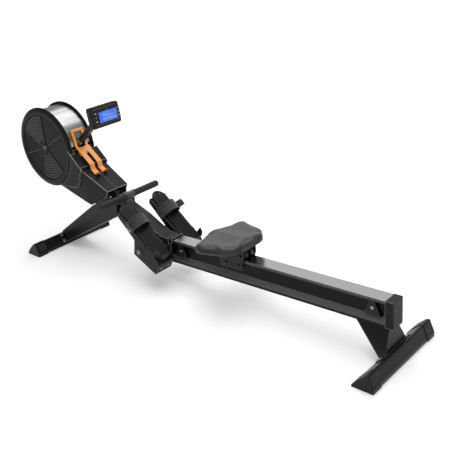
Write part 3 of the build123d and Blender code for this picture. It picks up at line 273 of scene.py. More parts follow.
def woven(name, colour, along, pitch=0.0016):
    """Flat webbing: fine ribs across and along the strap, from two crossed waves."""
    material, tree, shader = new_material(name)
    place = add_node(tree, "ShaderNodeTexCoord").outputs["Object"]
    run = add_node(tree, "ShaderNodeVectorMath", {0: place, 1: tuple(along)}, operation="DOT_PRODUCT")
    parts = add_node(tree, "ShaderNodeSeparateXYZ", {"Vector": place})
    waves = []
    for source, step in ((run.outputs["Value"], pitch), (parts.outputs["Y"], pitch * 1.3)):
        phase = add_node(tree, "ShaderNodeMath", {0: source, 1: 2 * pi / step}, operation="MULTIPLY")
        wave = add_node(tree, "ShaderNodeMath", {0: phase.outputs[0]}, operation="SINE")
        waves.append(wave.outputs[0])
    weave = add_node(tree, "ShaderNodeMath", {0: waves[0], 1: waves[1]}, operation="MULTIPLY")
    fuzz = add_node(tree, "ShaderNodeTexNoise", {"Vector": place, "Scale": 260.0, "Detail": 3.0})
    tone = add_node(tree, "ShaderNodeMath", {0: weave.outputs[0], 1: fuzz.outputs["Fac"]}, operation="ADD")
    body = ramp(tree, tone.outputs[0], [(0.0, tuple(c * 0.6 for c in colour)),
                                        (1.0, tuple(c * 1.5 for c in colour))])
    bump = add_node(tree, "ShaderNodeBump", {"Height": weave.outputs[0], "Strength": 0.5, "Distance": 0.0004})
    tree.links.new(body, shader.inputs["Base Color"])
    tree.links.new(bump.outputs["Normal"], shader.inputs["Normal"])
    shader.inputs["Roughness"].default_value = 0.75
    shader.inputs["Sheen Weight"].default_value = 0.25
    return material


def vinyl(name, colour):
    """Grained black seat vinyl with a soft sheen."""
    material, tree, shader = new_material(name)
    place = add_node(tree, "ShaderNodeTexCoord").outputs["Object"]
    grain = add_node(tree, "ShaderNodeTexVoronoi", {"Vector": place, "Scale": 520.0}, feature="SMOOTH_F1")
    slow = add_node(tree, "ShaderNodeTexNoise", {"Vector": place, "Scale": 9.0, "Detail": 5.0})
    body = ramp(tree, slow.outputs["Fac"],
                [(0.3, tuple(c * 0.8 for c in colour)), (0.7, tuple(c * 1.25 for c in colour))])
    rough = add_node(tree, "ShaderNodeMapRange",
                     {"Value": slow.outputs["Fac"], "To Min": 0.34, "To Max": 0.5})
    bump = add_node(tree, "ShaderNodeBump",
                    {"Height": grain.outputs["Distance"], "Strength": 0.25, "Distance": 0.0005})
    tree.links.new(body, shader.inputs["Base Color"])
    tree.links.new(rough.outputs["Result"], shader.inputs["Roughness"])
    tree.links.new(bump.outputs["Normal"], shader.inputs["Normal"])
    shader.inputs["Sheen Weight"].default_value = 0.1
    return material


ORANGE = (1.0, 0.37, 0.05)
PULL_SLOPE = radians(14)
PULL_RUN = Vector((cos(PULL_SLOPE), 0, sin(PULL_SLOPE)))
FOOT_SLOPE = radians(39)
DOWN_PLATE = Vector((cos(FOOT_SLOPE), 0, -sin(FOOT_SLOPE)))
OFF_PLATE = Vector((sin(FOOT_SLOPE), 0, cos(FOOT_SLOPE)))

# The eighth and ninth values of each moulded finish set the strength and colour of its painted edge
# highlight.
MATERIALS = {
    "black_paint": moulded("black_paint", grey(0.007), 0.34, 500, 0.12, 0.15, 0.0040, 0.55, grey(0.30),
                           specular=0.22),
    "black_plastic": moulded("black_plastic", grey(0.007), 0.42, 1100, 0.25, 0.15, 0.0040, 0.5, grey(0.26),
                             specular=0.22),
    "dark_plastic": moulded("dark_plastic", grey(0.008), 0.40, 1000, 0.2, 0.12, 0.0050, 0.8, grey(0.50),
                            specular=0.16),
    "cover_plastic": moulded("cover_plastic", grey(0.006), 0.42, 1000, 0.2, 0.12, 0.0015, 0.3, grey(0.10),
                             specular=0.14),
    # A lighter copy of the cover plastic: painted highlight on the raised ribs and louvre ridges.
    "cover_ribs_painted_highlight": moulded("cover_ribs_painted_highlight", grey(0.040), 0.40, 1000, 0.2, 0.12, 0.0020, 0.5, grey(0.16),
                          specular=0.3),
    "grey_plastic": moulded("grey_plastic", grey(0.022), 0.40, 1000, 0.18, 0.12, 0.0050, 0.8, grey(0.55),
                            specular=0.22),
    "light_grey_plastic": moulded("light_grey_plastic", grey(0.065), 0.42, 1000, 0.18, 0.12, 0.002, 0.5),
    "button_plastic": moulded("button_plastic", grey(0.42), 0.35, 1400, 0.1, 0.1, 0.0006, 0.4),
    "red_plastic": moulded("red_plastic", (0.55, 0.05, 0.04), 0.35, 1400, 0.1, 0.1, 0.0006, 0.4),
    "orange_paint": moulded("orange_paint", ORANGE, 0.4, 700, 0.1, 0.06, 0.0018, 0.5, (1.0, 0.62, 0.30),
                            coat=0.3),
    "brushed_steel": banded_metal("brushed_steel"),
    "polished_steel": brushed("polished_steel", grey(0.27), 0.2, (0.6, 40.0, 40.0), 0.12, 0.3),
    "alloy": rail_metal("alloy"),
    "bolt_steel": brushed("bolt_steel", grey(0.34), 0.3, (1.0, 1.0, 1.0), 0.2, 0.0, 6.0),
    "grip_foam": moulded("grip_foam", grey(0.014), 0.72, 700, 0.5, 0.2, 0.002, 0.3),
    "wheel_rubber": moulded("wheel_rubber", grey(0.014), 0.62, 900, 0.3, 0.2, 0.001, 0.4),
    "roller_plastic": moulded("roller_plastic", grey(0.03), 0.45, 900, 0.2, 0.1, 0.001, 0.3),
    "webbing": woven("webbing", grey(0.022), PULL_RUN),
    "pad_vinyl": vinyl("pad_vinyl", grey(0.012)),
}


def screen_material():
    """The blue back-lit display, its blue varying slowly across it."""
    material, tree, shader = new_material("screen_glass")
    place = add_node(tree, "ShaderNodeTexCoord").outputs["Object"]
    slow = add_node(tree, "ShaderNodeTexNoise", {"Vector": place, "Scale": 14.0, "Detail": 2.0})
    blue = ramp(tree, slow.outputs["Fac"], [(0.3, (0.03, 0.10, 0.62)), (0.7, (0.09, 0.22, 0.80))])
    tree.links.new(blue, shader.inputs["Base Color"])
    tree.links.new(blue, shader.inputs["Emission Color"])
    shader.inputs["Emission Strength"].default_value = 0.35
    shader.inputs["Roughness"].default_value = 0.12
    shader.inputs["Coat Weight"].default_value = 0.5
    return material


MATERIALS["screen_glass"] = screen_material()
# Pale finish for thin beads that paint a highlight along edges.
MATERIALS["edge_highlight_paint"] = moulded("edge_highlight_paint", grey(0.34), 0.35, 900, 0.1, 0.15, 0.0003, 0.2)
MATERIALS["clamp_grey"] = moulded("clamp_grey", grey(0.11), 0.4, 900, 0.12, 0.1, 0.0015, 0.4)
MATERIALS["screen_marks"] = moulded("screen_marks", (0.45, 0.60, 0.95), 0.3, 900, 0.05, 0.08, 0.0003, 0.2)

node_slots = {entry["node"]: entry["material_slot"] for entry in frame["record"]["subparts"]}
for node_name, node_object in frame["nodes"].items():
    node_object.data.materials.clear()
    node_object.data.materials.append(MATERIALS[node_slots[node_name]])

# ---------------------------------------------------------------- floor and light
FLOOR_HALF = 40.0


def make_stage():
    """Make the pale floor, the soft sky and the studio lights."""
    mesh = bpy.data.meshes.new("floor")
    corners = [(-1, -1), (1, -1), (1, 1), (-1, 1)]
    mesh.from_pydata([(x * FLOOR_HALF, y * FLOOR_HALF, -0.0005) for x, y in corners], [], [(0, 1, 2, 3)])
    floor = bpy.data.objects.new("floor", mesh)
    scene.collection.objects.link(floor)
    material, tree, shader = new_material("floor_paper")
    shader.inputs["Base Color"].default_value = (0.93, 0.93, 0.93, 1)
    shader.inputs["Roughness"].default_value = 0.9
    shader.inputs["Emission Color"].default_value = (1, 1, 1, 1)
    place = add_node(tree, "ShaderNodeTexCoord").outputs["Object"]
    reach = add_node(tree, "ShaderNodeVectorMath", {0: place}, operation="LENGTH")
    glow = add_node(tree, "ShaderNodeMapRange",
                    {"Value": reach.outputs["Value"], "From Min": 1.6, "From Max": 6.0,
                                                 "To Min": 0.26, "To Max": 0.85})
    tree.links.new(glow.outputs["Result"], shader.inputs["Emission Strength"])
    mesh.materials.append(material)
    world = bpy.data.worlds.new("studio")
    scene.world = world
    world.use_nodes = True
    world.node_tree.nodes["Background"].inputs["Color"].default_value = (1, 1, 1, 1)
    world.node_tree.nodes["Background"].inputs["Strength"].default_value = 0.30
    lights = [
        ("key", (0.9, -1.2, 4.2), 2.6, 58.0),
        ("top", (-0.4, 0.9, 4.4), 3.2, 95.0),
        ("rim", (-2.1, 3.4, 2.5), 3.4, 44.0),
    ]
    for name, place, size, power in lights:
        data = bpy.data.lights.new(name, "AREA")
        data.shape = "SQUARE"
        data.size = size
        data.energy = power
        light = bpy.data.objects.new(name, data)
        scene.collection.objects.link(light)
        light.location = place
        light.rotation_euler = (Vector((0, 0, 0.4)) - Vector(place)).to_track_quat("-Z", "Y").to_euler()


make_stage()

# ---------------------------------------------------------------- mesh tools
def mesh_piece(name, vertices, faces, slot, bodies="frame", replaced=(), smooth=True, crease_angle=35,
               bevel=0.0, subdivide=0, finish=None):
    """Make a mesh object with its material and modifiers, parent it to its body and hide the nodes it
    replaces.
    """
    mesh = bpy.data.meshes.new(name)
    mesh.from_pydata([tuple(v) for v in vertices], [], faces)
    tidy = bmesh.new()
    tidy.from_mesh(mesh)
    bmesh.ops.remove_doubles(tidy, verts=tidy.verts, dist=1e-6)
    bmesh.ops.recalc_face_normals(tidy, faces=tidy.faces)
    tidy.to_mesh(mesh)
    tidy.free()
    piece = bpy.data.objects.new(name, mesh)
    scene.collection.objects.link(piece)
    mesh.materials.append(MATERIALS[finish or slot])
    if bevel:
        rounding = piece.modifiers.new("rounding", "BEVEL")
        rounding.width = bevel
        rounding.segments = 3
        rounding.limit_method = "ANGLE"
        rounding.angle_limit = radians(30)
    if subdivide:
        finer = piece.modifiers.new("finer", "SUBSURF")
        finer.levels = subdivide
        finer.render_levels = subdivide
    if smooth:
        mesh.shade_smooth()
        if not subdivide:
            mesh.set_sharp_from_angle(angle=radians(crease_angle))
    if bodies:
        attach(piece, bodies)
    if replaced:
        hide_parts(*replaced)
    return piece


class Shape:
    """Vertices and faces gathered from several simple forms, to become one mesh."""

    def __init__(self):
        self.vertices = []
        self.faces = []

    def add(self, vertices, faces):
        start = len(self.vertices)
        self.vertices += vertices
        self.faces += [tuple(start + i for i in face) for face in faces]

    def rings(self, rings, closed_ring=True, closed_run=False, caps=True):
        """Join rings of equal length with quads."""
        count = len(rings[0])
        faces = []
        runs = len(rings) if closed_run else len(rings) - 1
        for i in range(runs):
            a, b = i * count, ((i + 1) % len(rings)) * count
            for j in range(count if closed_ring else count - 1):
                k = (j + 1) % count
                faces.append((a + j, a + k, b + k, b + j))
        if caps and not closed_run:
            faces.append(tuple(range(count))[::-1])
            faces.append(tuple(range((len(rings) - 1) * count, len(rings) * count)))
        self.add([v for ring in rings for v in ring], faces)

    def block(self, origin, u, v, w, size):
        """Add a box centred on origin, with its sides along u, v and w."""
        a, b, c = (axis * (length / 2) for axis, length in zip((u, v, w), size))
        corners = [origin + a * i + b * j + c * k for k in (-1, 1) for j in (-1, 1) for i in (-1, 1)]
        self.add(corners, [(0, 1, 3, 2), (4, 6, 7, 5), (0, 4, 5, 1), (2, 3, 7, 6), (0, 2, 6, 4),
                           (1, 5, 7, 3)])

    def lathe(self, centre, axis, profile, segments=64):
        """Turn (radius, height) points around an axis through centre."""
        side = axis.orthogonal().normalized()
        other = axis.cross(side).normalized()
        rings = []
        for radius, height in profile:
            ring = []
            for step in range(segments):
                turn = 2 * pi * step / segments
                out = side * cos(turn) + other * sin(turn)
                ring.append(centre + axis * height + out * max(radius, 1e-5))
            rings.append(ring)
        self.rings(rings)


# ---------------------------------------------------------------- fan covers
cover_low, cover_high = (Vector(p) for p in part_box("fan_cover_left"))
FAN = Vector(((cover_low.x + cover_high.x) / 2, 0, (cover_low.z + cover_high.z) / 2))
COVER_FACE = -cover_low.y
COVER_PROFILE = [
    (0.0, 0.0), (0.022, 0.0), (0.0245, 0.0006), (0.026, 0.0046), (0.186, 0.0050), (0.1885, 0.0042),
    (0.190, 0.0006),
    (0.192, 0.0), (0.210, 0.0), (0.2150, 0.0006), (0.2180, 0.0024), (0.2280, 0.0072), (0.2303, 0.0094),
    (0.2305, 0.0115), (0.2305, 0.0155), (0.2300, 0.0160), (0.2235, 0.0160), (0.2226, 0.0150),
    (0.2222, 0.0046), (0.206, 0.0044), (0.204, 0.0076), (0.0, 0.0076),
]
RIB_TURNS = (30, 92, 155, 200, 259, 319)
LOUVRE_SECTORS = ((94, 153), (262, 317))
PLAIN_SECTORS = ((32, 90), (157, 198), (202, 257), (321, 388))
NOTCHES = ((0.199, 103, 6, 9), (0.212, 167, 5, 9), (0.176, 39, 6, 16), (0.199, 265, 6, 9))


def polar(side, radius, turn, depth):
    """Return a point on a cover's face; depth is measured inwards from the outer face."""
    angle = radians(turn)
    return FAN + Vector((cos(angle) * radius, side * (COVER_FACE - depth), sin(angle) * radius))


def arc_ridge(shape, side, radius, start, end, width, base, height, lean=0.0):
    """Add a raised curved ridge between two angles."""
    rings = []
    steps = max(6, int(abs(end - start) / 4))
    for step in range(steps + 1):
        turn = start + (end - start) * step / steps
        rings.append([
            polar(side, radius - width / 2, turn, base),
            polar(side, radius - width * 0.3 + lean, turn, base - height),
            polar(side, radius + width * 0.3 + lean, turn, base - height),
            polar(side, radius + width / 2, turn, base),
            polar(side, radius, turn, base + 0.001),
        ])
    shape.rings(rings)


def make_cover(side, side_name):
    """Build a round fan cover: bevelled rim, grille, ribs, louvres, notches and a plain badge."""
    shape = Shape()
    outward = Vector((0, side, 0))
    face = FAN + outward * COVER_FACE
    shape.lathe(face, outward, [(r, -d) for r, d in COVER_PROFILE], 144)
    for start, end in PLAIN_SECTORS:
        for step in range(9):
            arc_ridge(shape, side, 0.052 + 0.0155 * step, start, end, 0.0050, 0.0050, 0.0010)
    mesh_piece(f"fan_cover_{side_name}_detailed", shape.vertices, shape.faces, "cover_plastic", "frame",
               [f"fan_cover_{side_name}"], crease_angle=28)
    # The ribs and louvre ridges take a lighter copy of the cover plastic, a painted highlight on their raised
    # faces.
    ribs = Shape()
    for turn in RIB_TURNS:
        angle = radians(turn)
        out = Vector((cos(angle), 0, sin(angle)))
        ribs.block(face + out * 0.107 - outward * 0.0030, out, outward, out.cross(outward),
                   (0.162, 0.0050, 0.0042))
    for start, end in LOUVRE_SECTORS:
        for step in range(9):
            arc_ridge(ribs, side, 0.052 + 0.0155 * step, start, end, 0.0088, 0.0050, 0.0046, 0.0018)
    mesh_piece(f"cover_ribs_painted_highlight_{side_name}", ribs.vertices, ribs.faces, "cover_plastic", "frame",
               crease_angle=28, finish="cover_ribs_painted_highlight")
    holes = Shape()
    for radius, turn, width, length in NOTCHES:
        angle = radians(turn)
        out = Vector((cos(angle), 0, sin(angle)))
        along = out.cross(outward)
        place = FAN + out * radius + outward * (COVER_FACE - 0.0001)
        if radius < 0.19:
            place -= outward * 0.0044
        holes.block(place, out, outward, along, (width / 1000, 0.0010, length / 1000))
    for start, end in LOUVRE_SECTORS:
        for step in range(8):
            arc_ridge(holes, side, 0.0598 + 0.0155 * step, start, end, 0.0052, 0.0050, 0.0003)
    notch = mesh_piece(f"cover_notches_{side_name}", holes.vertices, holes.faces, "wheel_rubber", "frame",
                       bevel=0.0004)
    badge = Shape()
    rings = []
    for grow, lift in ((1.0, 0.0), (1.0, 0.0009), (0.9, 0.0014), (0.45, 0.0017)):
        ring = []
        for step in range(40):
            turn = 2 * pi * step / 40
            across = Vector((cos(turn) * 0.016 * grow, 0, sin(turn) * 0.010 * grow))
            ring.append(face + across + outward * (lift - 0.0004))
        rings.append(ring)
    badge.rings(rings)
    mesh_piece(f"cover_badge_{side_name}", badge.vertices, badge.faces, "light_grey_plastic", "frame")
    return notch


for side, side_name in ((-1, "left"), (1, "right")):
    make_cover(side, side_name)


# ---------------------------------------------------------------- bolts
def bolt(shape, place, axis, radius=0.0075, height=0.0045):
    """Add a domed socket-head bolt with a washer and a hexagon recess."""
    axis = axis.normalized()
    shape.lathe(place, axis, [(radius * 1.35, 0.0), (radius * 1.35, 0.0009), (radius * 1.25, 0.0012),
                              (0.0, 0.0012)], 32)
    shape.lathe(place, axis, [(radius, 0.0010), (radius, height * 0.45), (radius * 0.92, height * 0.75),
                              (radius * 0.72, height), (radius * 0.48, height),
                              (radius * 0.46, height * 0.55), (0.0, height * 0.5)], 32)


FOOT_X = FAN.x - 0.0665


def at(x, y, z):
    """Return a point from millimetres behind the front foot's edge, to the right and up."""
    return Vector((FOOT_X + x / 1000, y / 1000, z / 1000))


def rail_place(along, up, y):
    """Return a point from millimetres along the rail, above its top, and to the right."""
    return at(966, y, 252) + RAIL_RUN * (along / 1000) + RAIL_UP * (up / 1000)


bolts = Shape()
FRONT_FACE_RUN = Vector((27, 0, -60)).normalized()
FRONT_FACE_OUT = Vector((60, 0, 27)).normalized()
REAR_FACE_OUT = Vector((-36, 0, 38)).normalized()
rear_foot_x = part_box("rear_foot_caps")[0][0]
for side in (-1, 1):
    front_middle = at(93.5, side * 81, 50) + FRONT_FACE_OUT * 0.002
    for step in (-1, 1):
        bolt(bolts, front_middle + FRONT_FACE_RUN * (0.018 * step), FRONT_FACE_OUT)
    rear_middle = Vector((rear_foot_x + 0.043, side * 0.104, 0.056)) + REAR_FACE_OUT * 0.002
    bolt(bolts, rear_middle, REAR_FACE_OUT)
    bolt(bolts, at(287, side * 21, 669), Y_AXIS * side, 0.0075, 0.005)
    bolt(bolts, at(868, side * 176, 205), Y_AXIS * side, 0.0085, 0.005)
    bolt(bolts, rail_place(72, -50, side * 37), Y_AXIS * side, 0.0065, 0.003)
    bolt(bolts, rail_place(1202.9, -50, side * 37), Y_AXIS * side, 0.0065, 0.003)
    for low_y in (88, 142):
        bolt(bolts, at(991, side * low_y, 133), Vector((54, 0, -26)).normalized(), 0.005, 0.003)
mesh_piece("bolt_heads", bolts.vertices, bolts.faces, "bolt_steel", "frame", ["frame_bolts"], crease_angle=40)

# ---------------------------------------------------------------- shroud highlight beads and rail collar
def bead(shape, points, radius=0.0014):
    """Add a round bead that follows a path of straight lines."""
    for start, end in zip(points, points[1:]):
        run = (end - start).normalized()
        side_way = run.orthogonal().normalized()
        other = run.cross(side_way)
        rings = []
        for place in (start - run * radius * 0.6, end + run * radius * 0.6):
            rings.append([place + side_way * (radius * cos(a)) + other * (radius * sin(a))
                          for a in (2 * pi * k / 8 for k in range(8))])
        shape.rings(rings)


def make_shroud_highlight_beads():
    """Build thin bright beads along the shroud's edges, a painted highlight round its raised block, its top
    panels and its nose.
    """
    edges = Shape()
    for side in (-1, 1):
        block_top, block_corner = at(279, side * 96.8, 631.8), at(370, side * 96.8, 549.6)
        step, seam_low = at(376.5, side * 96.8, 538.0), at(372, side * 96.8, 528.0)
        bead(edges, [block_top, block_corner, step, seam_low])
        bead(edges, [at(371, side * 97, 550.0), at(371, side * 6, 550.0)])
        bead(edges, [at(384, side * 86.0, 525.0), at(553.0, side * 73.4, 442.2), at(533, side * 73.2, 400)])
        bead(edges, [at(553.4, side * 73, 442.0), at(553.4, side * 5, 442.0)])
    mesh_piece("shroud_highlight_beads", edges.vertices, edges.faces, "dark_plastic", "frame", finish="edge_highlight_paint")


make_shroud_highlight_beads()


def make_rail_collar():
    """Build the low collar that stands across the front end of the running surface, with a thin plate down
    each side.
    """
    collar = Shape()
    middle = rail_place(9, 3.5, 0)
    collar.block(middle, RAIL_RUN, Y_AXIS, RAIL_UP, (0.018, 0.084, 0.007))
    for side in (-1, 1):
        collar.block(rail_place(9, -6, side * 40.6), RAIL_RUN, Y_AXIS, RAIL_UP, (0.018, 0.0034, 0.026))
    mesh_piece("rail_collar", collar.vertices, collar.faces, "black_plastic", "frame", bevel=0.0012)
    # Painted highlight: thin bright beads along the collar's top and side edges.
    trim = Shape()
    bead(trim, [rail_place(18.2, 7.2, -41.6), rail_place(18.2, 7.2, 41.6)], 0.0011)
    for side in (-1, 1):
        bead(trim, [rail_place(18.2, 7.2, side * 41.8), rail_place(18.2, -18.0, side * 41.8)], 0.0011)
    mesh_piece("rail_collar_highlight_bead", trim.vertices, trim.faces, "dark_plastic", "frame", finish="edge_highlight_paint")


make_rail_collar()

# ---------------------------------------------------------------- pull strap
strap_low, strap_high = (Vector(p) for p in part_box("pull_strap"))
STRAP_HALF = strap_high.y
STRAP_WALL = 0.0016
strap_start = Vector((strap_low.x + sin(PULL_SLOPE) * STRAP_WALL, 0,
                      strap_low.z + cos(PULL_SLOPE) * STRAP_WALL / 2))
strap_end = Vector((strap_high.x, 0, strap_high.z - cos(PULL_SLOPE) * STRAP_WALL / 2))
PULL_UP = Vector((-sin(PULL_SLOPE), 0, cos(PULL_SLOPE)))


def make_pull_strap():
    """Build the webbing from the guide roller to the handle."""
    shape = Shape()
    run = (strap_end - strap_start).length + 0.010
    rings = []
    steps = 48
    for step in range(steps + 1):
        middle = strap_start + PULL_RUN * (run * step / steps)
        section = [(-1.0, -0.3), (-0.97, -0.5), (0.97, -0.5), (1.0, -0.3), (1.0, 0.3), (0.97, 0.5),
                   (0.0, 0.55), (-0.97, 0.5), (-1.0, 0.3)]
        rings.append([middle + Y_AXIS * (STRAP_HALF * y) + PULL_UP * (STRAP_WALL * u) for y, u in section])
    shape.rings(rings)
    strap = mesh_piece("pull_strap_webbing", shape.vertices, shape.faces, "webbing", None, ["pull_strap"])
    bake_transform(strap)


make_pull_strap()

# ---------------------------------------------------------------- handle clamp
HANDLE = at(643, 0, 420)


def make_handle_clamp():
    """Add the clamp's flat plate with two screws, and the dark rings on either side of it."""
    plate = Shape()
    middle = HANDLE - PULL_RUN * 0.026
    plate.block(middle + PULL_UP * 0.0130, PULL_RUN, Y_AXIS, PULL_UP, (0.040, 0.040, 0.004))
    mesh_piece("handle_clamp_plate", plate.vertices, plate.faces, "light_grey_plastic", "handle",
               bevel=0.0012, finish="clamp_grey")
    screws = Shape()
    for side in (-1, 1):
        bolt(screws, middle + PULL_UP * 0.0148 + Y_AXIS * (side * 0.011), PULL_UP, 0.0038, 0.0024)
    mesh_piece("handle_clamp_screws", screws.vertices, screws.faces, "bolt_steel", "handle", crease_angle=40)
    rings = Shape()
    for side in (-1, 1):
        rings.lathe(HANDLE + Y_AXIS * (side * 0.034), Y_AXIS,
                    [(0.0196, -0.005), (0.0208, -0.0042), (0.0208, 0.0042),
                                                              (0.0196, 0.005)], 40)
    mesh_piece("handle_rings", rings.vertices, rings.faces, "black_plastic", "handle", crease_angle=40)


make_handle_clamp()

# ---------------------------------------------------------------- foot straps
HEEL = at(1000, 0, 192)
BAND_MIDDLE = -0.231
BAND_WIDTH = 0.062
BAND_WALL = 0.003
BAND_HALF = 0.0578
BAND_RISE = 0.044
BAND_CENTRE = 0.1145


def arch_points(grow):
    """Return the band's side outline as (sideways, off the plate) points."""
    half, rise = BAND_HALF + grow, BAND_RISE + grow
    shoulder = 0.008
    sag = rise - shoulder
    radius = (half * half + sag * sag) / (2 * sag)
    middle = rise - radius
    reach = atan2(half, shoulder - middle)
    points = [(-half, -0.026 + 0.034 * step / 4) for step in range(4)]
    for step in range(29):
        turn = -reach + 2 * reach * step / 28
        points.append((sin(turn) * radius, middle + cos(turn) * radius))
    points += [(half, 0.008 - 0.034 * step / 4) for step in range(1, 5)]
    return points


def make_foot_strap(side, side_name):
    """Build one wide foot band with raised woven borders; its loose tail is made apart."""
    shape = Shape()
    inner = arch_points(0.0006)
    outer = arch_points(BAND_WALL - 0.0008)
    profile = [(0.0, 1.0), (0.02, 1.35), (0.07, 1.35), (0.09, 1.0), (0.5, 1.1), (0.91, 1.0), (0.93, 1.35),
               (0.98, 1.35), (1.0, 1.0)]
    rings = []
    for (iy, iu), (oy, ou) in zip(inner, outer):
        ring = []
        for across, lift in profile:
            y, u = iy + (oy - iy) * lift, iu + (ou - iu) * lift
            ring.append(HEEL + DOWN_PLATE * (BAND_MIDDLE + BAND_WIDTH * (across - 0.5)) + OFF_PLATE * u
                        + Y_AXIS * (side * BAND_CENTRE + y))
        for across in (1.0, 0.5, 0.0):
            ring.append(HEEL + DOWN_PLATE * (BAND_MIDDLE + BAND_WIDTH * (across - 0.5)) + OFF_PLATE * iu
                        + Y_AXIS * (side * BAND_CENTRE + iy))
        rings.append(ring)
    shape.rings(rings)
    mesh_piece(f"foot_strap_{side_name}_webbing", shape.vertices, shape.faces, "webbing", "frame",
               [f"foot_strap_{side_name}"], crease_angle=50)


def make_strap_tail(side, side_name):
    """Build the strap's free tail, which stands out past its buckle."""
    shape = Shape()
    rings = []
    base = HEEL + DOWN_PLATE * (BAND_MIDDLE + 0.004) + Y_AXIS * (side * (BAND_CENTRE + BAND_HALF + 0.0045))
    for step in range(11):
        share = step / 10
        outward = side * (0.002 + 0.030 * share * share)
        middle = base + OFF_PLATE * (0.006 + 0.020 * share) + Y_AXIS * outward
        width = 0.040 * (1 - 0.12 * max(0, share - 0.8) / 0.2)
        rings.append([middle + DOWN_PLATE * (width * w) + Y_AXIS * (side * t) for w, t in
                      ((-0.5, 0.0), (0.5, 0.0), (0.5, 0.0018), (-0.5, 0.0018))])
    shape.rings(rings)
    mesh_piece(f"strap_tail_{side_name}", shape.vertices, shape.faces, "webbing", "frame", crease_angle=50,
               bevel=0.0005)


for side, side_name in ((-1, "left"), (1, "right")):
    make_foot_strap(side, side_name)
    make_strap_tail(side, side_name)


# ---------------------------------------------------------------- heel cup lips
def make_heel_lip(side, side_name):
    """Add the rolled lip of a footplate's heel cup."""
    shape = Shape()
    middle = HEEL + Y_AXIS * (side * 0.119)
    rings = []
    for step in range(25):
        turn = radians(-64 + 128 * step / 24)
        out = DOWN_PLATE * cos(turn) + Y_AXIS * sin(turn)
        ring_middle = middle - DOWN_PLATE * 0.0431 + out * 0.0491 + OFF_PLATE * 0.0415
        rings.append([ring_middle + out * (0.0034 * cos(a)) + OFF_PLATE * (0.0030 * sin(a))
                      for a in (2 * pi * k / 12 for k in range(12))])
    shape.rings(rings)
    mesh_piece(f"heel_cup_lip_{side_name}", shape.vertices, shape.faces, "black_plastic",
               f"footplate_{side_name}", bevel=0.0006)


for side, side_name in ((-1, "left"), (1, "right")):
    make_heel_lip(side, side_name)

# ---------------------------------------------------------------- console trim
CONSOLE_TILT = radians(10)
CONSOLE_OUT = Vector((cos(CONSOLE_TILT), 0, sin(CONSOLE_TILT)))
CONSOLE_UP = Vector((-sin(CONSOLE_TILT), 0, cos(CONSOLE_TILT)))
CONSOLE = at(529, 0, 852)


def on_console(y, up, out=0.0):
    """Return a point on the console's face from millimetres right, up and out."""
    return CONSOLE + Y_AXIS * (y / 1000) + CONSOLE_UP * (up / 1000) + CONSOLE_OUT * (out / 1000)


ridges = Shape()
for row, rows in ((44, 3), (-40, 3)):
    for step in range(rows):
        ridges.block(on_console(2, row + 4.2 * (step - 1), 0.4), Y_AXIS, CONSOLE_UP, CONSOLE_OUT,
                     (0.168, 0.0024, 0.0024))
for y, up, width, height in ((-76, -1, 4, 64), (101 - 24, -1, 3, 60)):
    ridges.block(on_console(y - (8 if y < 0 else -20), up, 0.2), Y_AXIS, CONSOLE_UP, CONSOLE_OUT,
                 (width / 1000, height / 1000, 0.0014))
mesh_piece("console_ridges", ridges.vertices, ridges.faces, "black_plastic", "console", bevel=0.0005)
frame_trim = Shape()
SCREEN_Y, SCREEN_UP = 16, -5
for y, up, width, height in ((SCREEN_Y, SCREEN_UP + 29.4, 130, 2.2), (SCREEN_Y, SCREEN_UP - 29.4, 130, 2.2),
                             (SCREEN_Y - 64.4, SCREEN_UP, 2.2, 60), (SCREEN_Y + 64.4, SCREEN_UP, 2.2, 60)):
    frame_trim.block(on_console(y, up, 0.3), Y_AXIS, CONSOLE_UP, CONSOLE_OUT,
                     (width / 1000, height / 1000, 0.0012))
mesh_piece("console_bezel", frame_trim.vertices, frame_trim.faces, "black_plastic", "console", bevel=0.0004)
marks = Shape()
for y, up, width, height in ((-30, 14, 16, 2.4), (-27, 8, 22, 1.6), (-2, 3, 46, 2.2), (34, 3, 14, 2.2),
                             (-30, -13, 18, 3.0),
                             (-6, -13, 18, 3.0), (18, -13, 18, 3.0), (42, -13, 18, 3.0), (50, 15, 10, 2.0),
                             (-30, -19, 12, 1.4), (-6, -19, 12, 1.4), (18, -19, 12, 1.4), (42, -19, 12, 1.4)):
    marks.block(on_console(SCREEN_Y + y, SCREEN_UP + up, -0.7), Y_AXIS, CONSOLE_UP, CONSOLE_OUT,
                (width / 1000, height / 1000, 0.0003))
mesh_piece("screen_marks", marks.vertices, marks.faces, "screen_glass", "console", finish="screen_marks")
edge_strip = Shape()
edge_strip.block(on_console(0, -55.2, -6), Y_AXIS, CONSOLE_UP, CONSOLE_OUT, (0.170, 0.0022, 0.004))
mesh_piece("console_lower_edge", edge_strip.vertices, edge_strip.faces, "red_plastic", "console",
           bevel=0.0005)


# ---------------------------------------------------------------- seat pad
SEAT_MIDDLE = rail_place(432, 58, 0)
SEAT_HEIGHT = 0.044


def seat_point(x, y, up):
    """Return a point from metres along the rail, right and up from the middle of the pad's underside."""
    return SEAT_MIDDLE + RAIL_RUN * x + Y_AXIS * y + RAIL_UP * up


def pad_outline(steps):
    """Return the pad's rounded plan outline as (along, sideways) points."""
    corners = [(-0.176, 0.0, 0.05), (-0.112, -0.195, 0.036), (0.042, -0.157, 0.036), (0.097, -0.095, 0.026),
               (0.097, 0.095, 0.026), (0.042, 0.157, 0.036), (-0.112, 0.195, 0.036)]
    points = []
    count = len(corners)
    for i, (x, y, cut) in enumerate(corners):
        before = Vector(corners[i - 1][:2])
        after = Vector(corners[(i + 1) % count][:2])
        here = Vector((x, y))
        start = here + (before - here).normalized() * cut
        end = here + (after - here).normalized() * cut
        for step in range(steps):
            share = step / (steps - 1)
            points.append(start * (1 - share) ** 2 + here * (2 * share * (1 - share)) + end * share ** 2)
    return points


def hump(x, width):
    """Return a smooth bump that is 1 at 0 and fades over width."""
    return exp(-(x / width) ** 2)


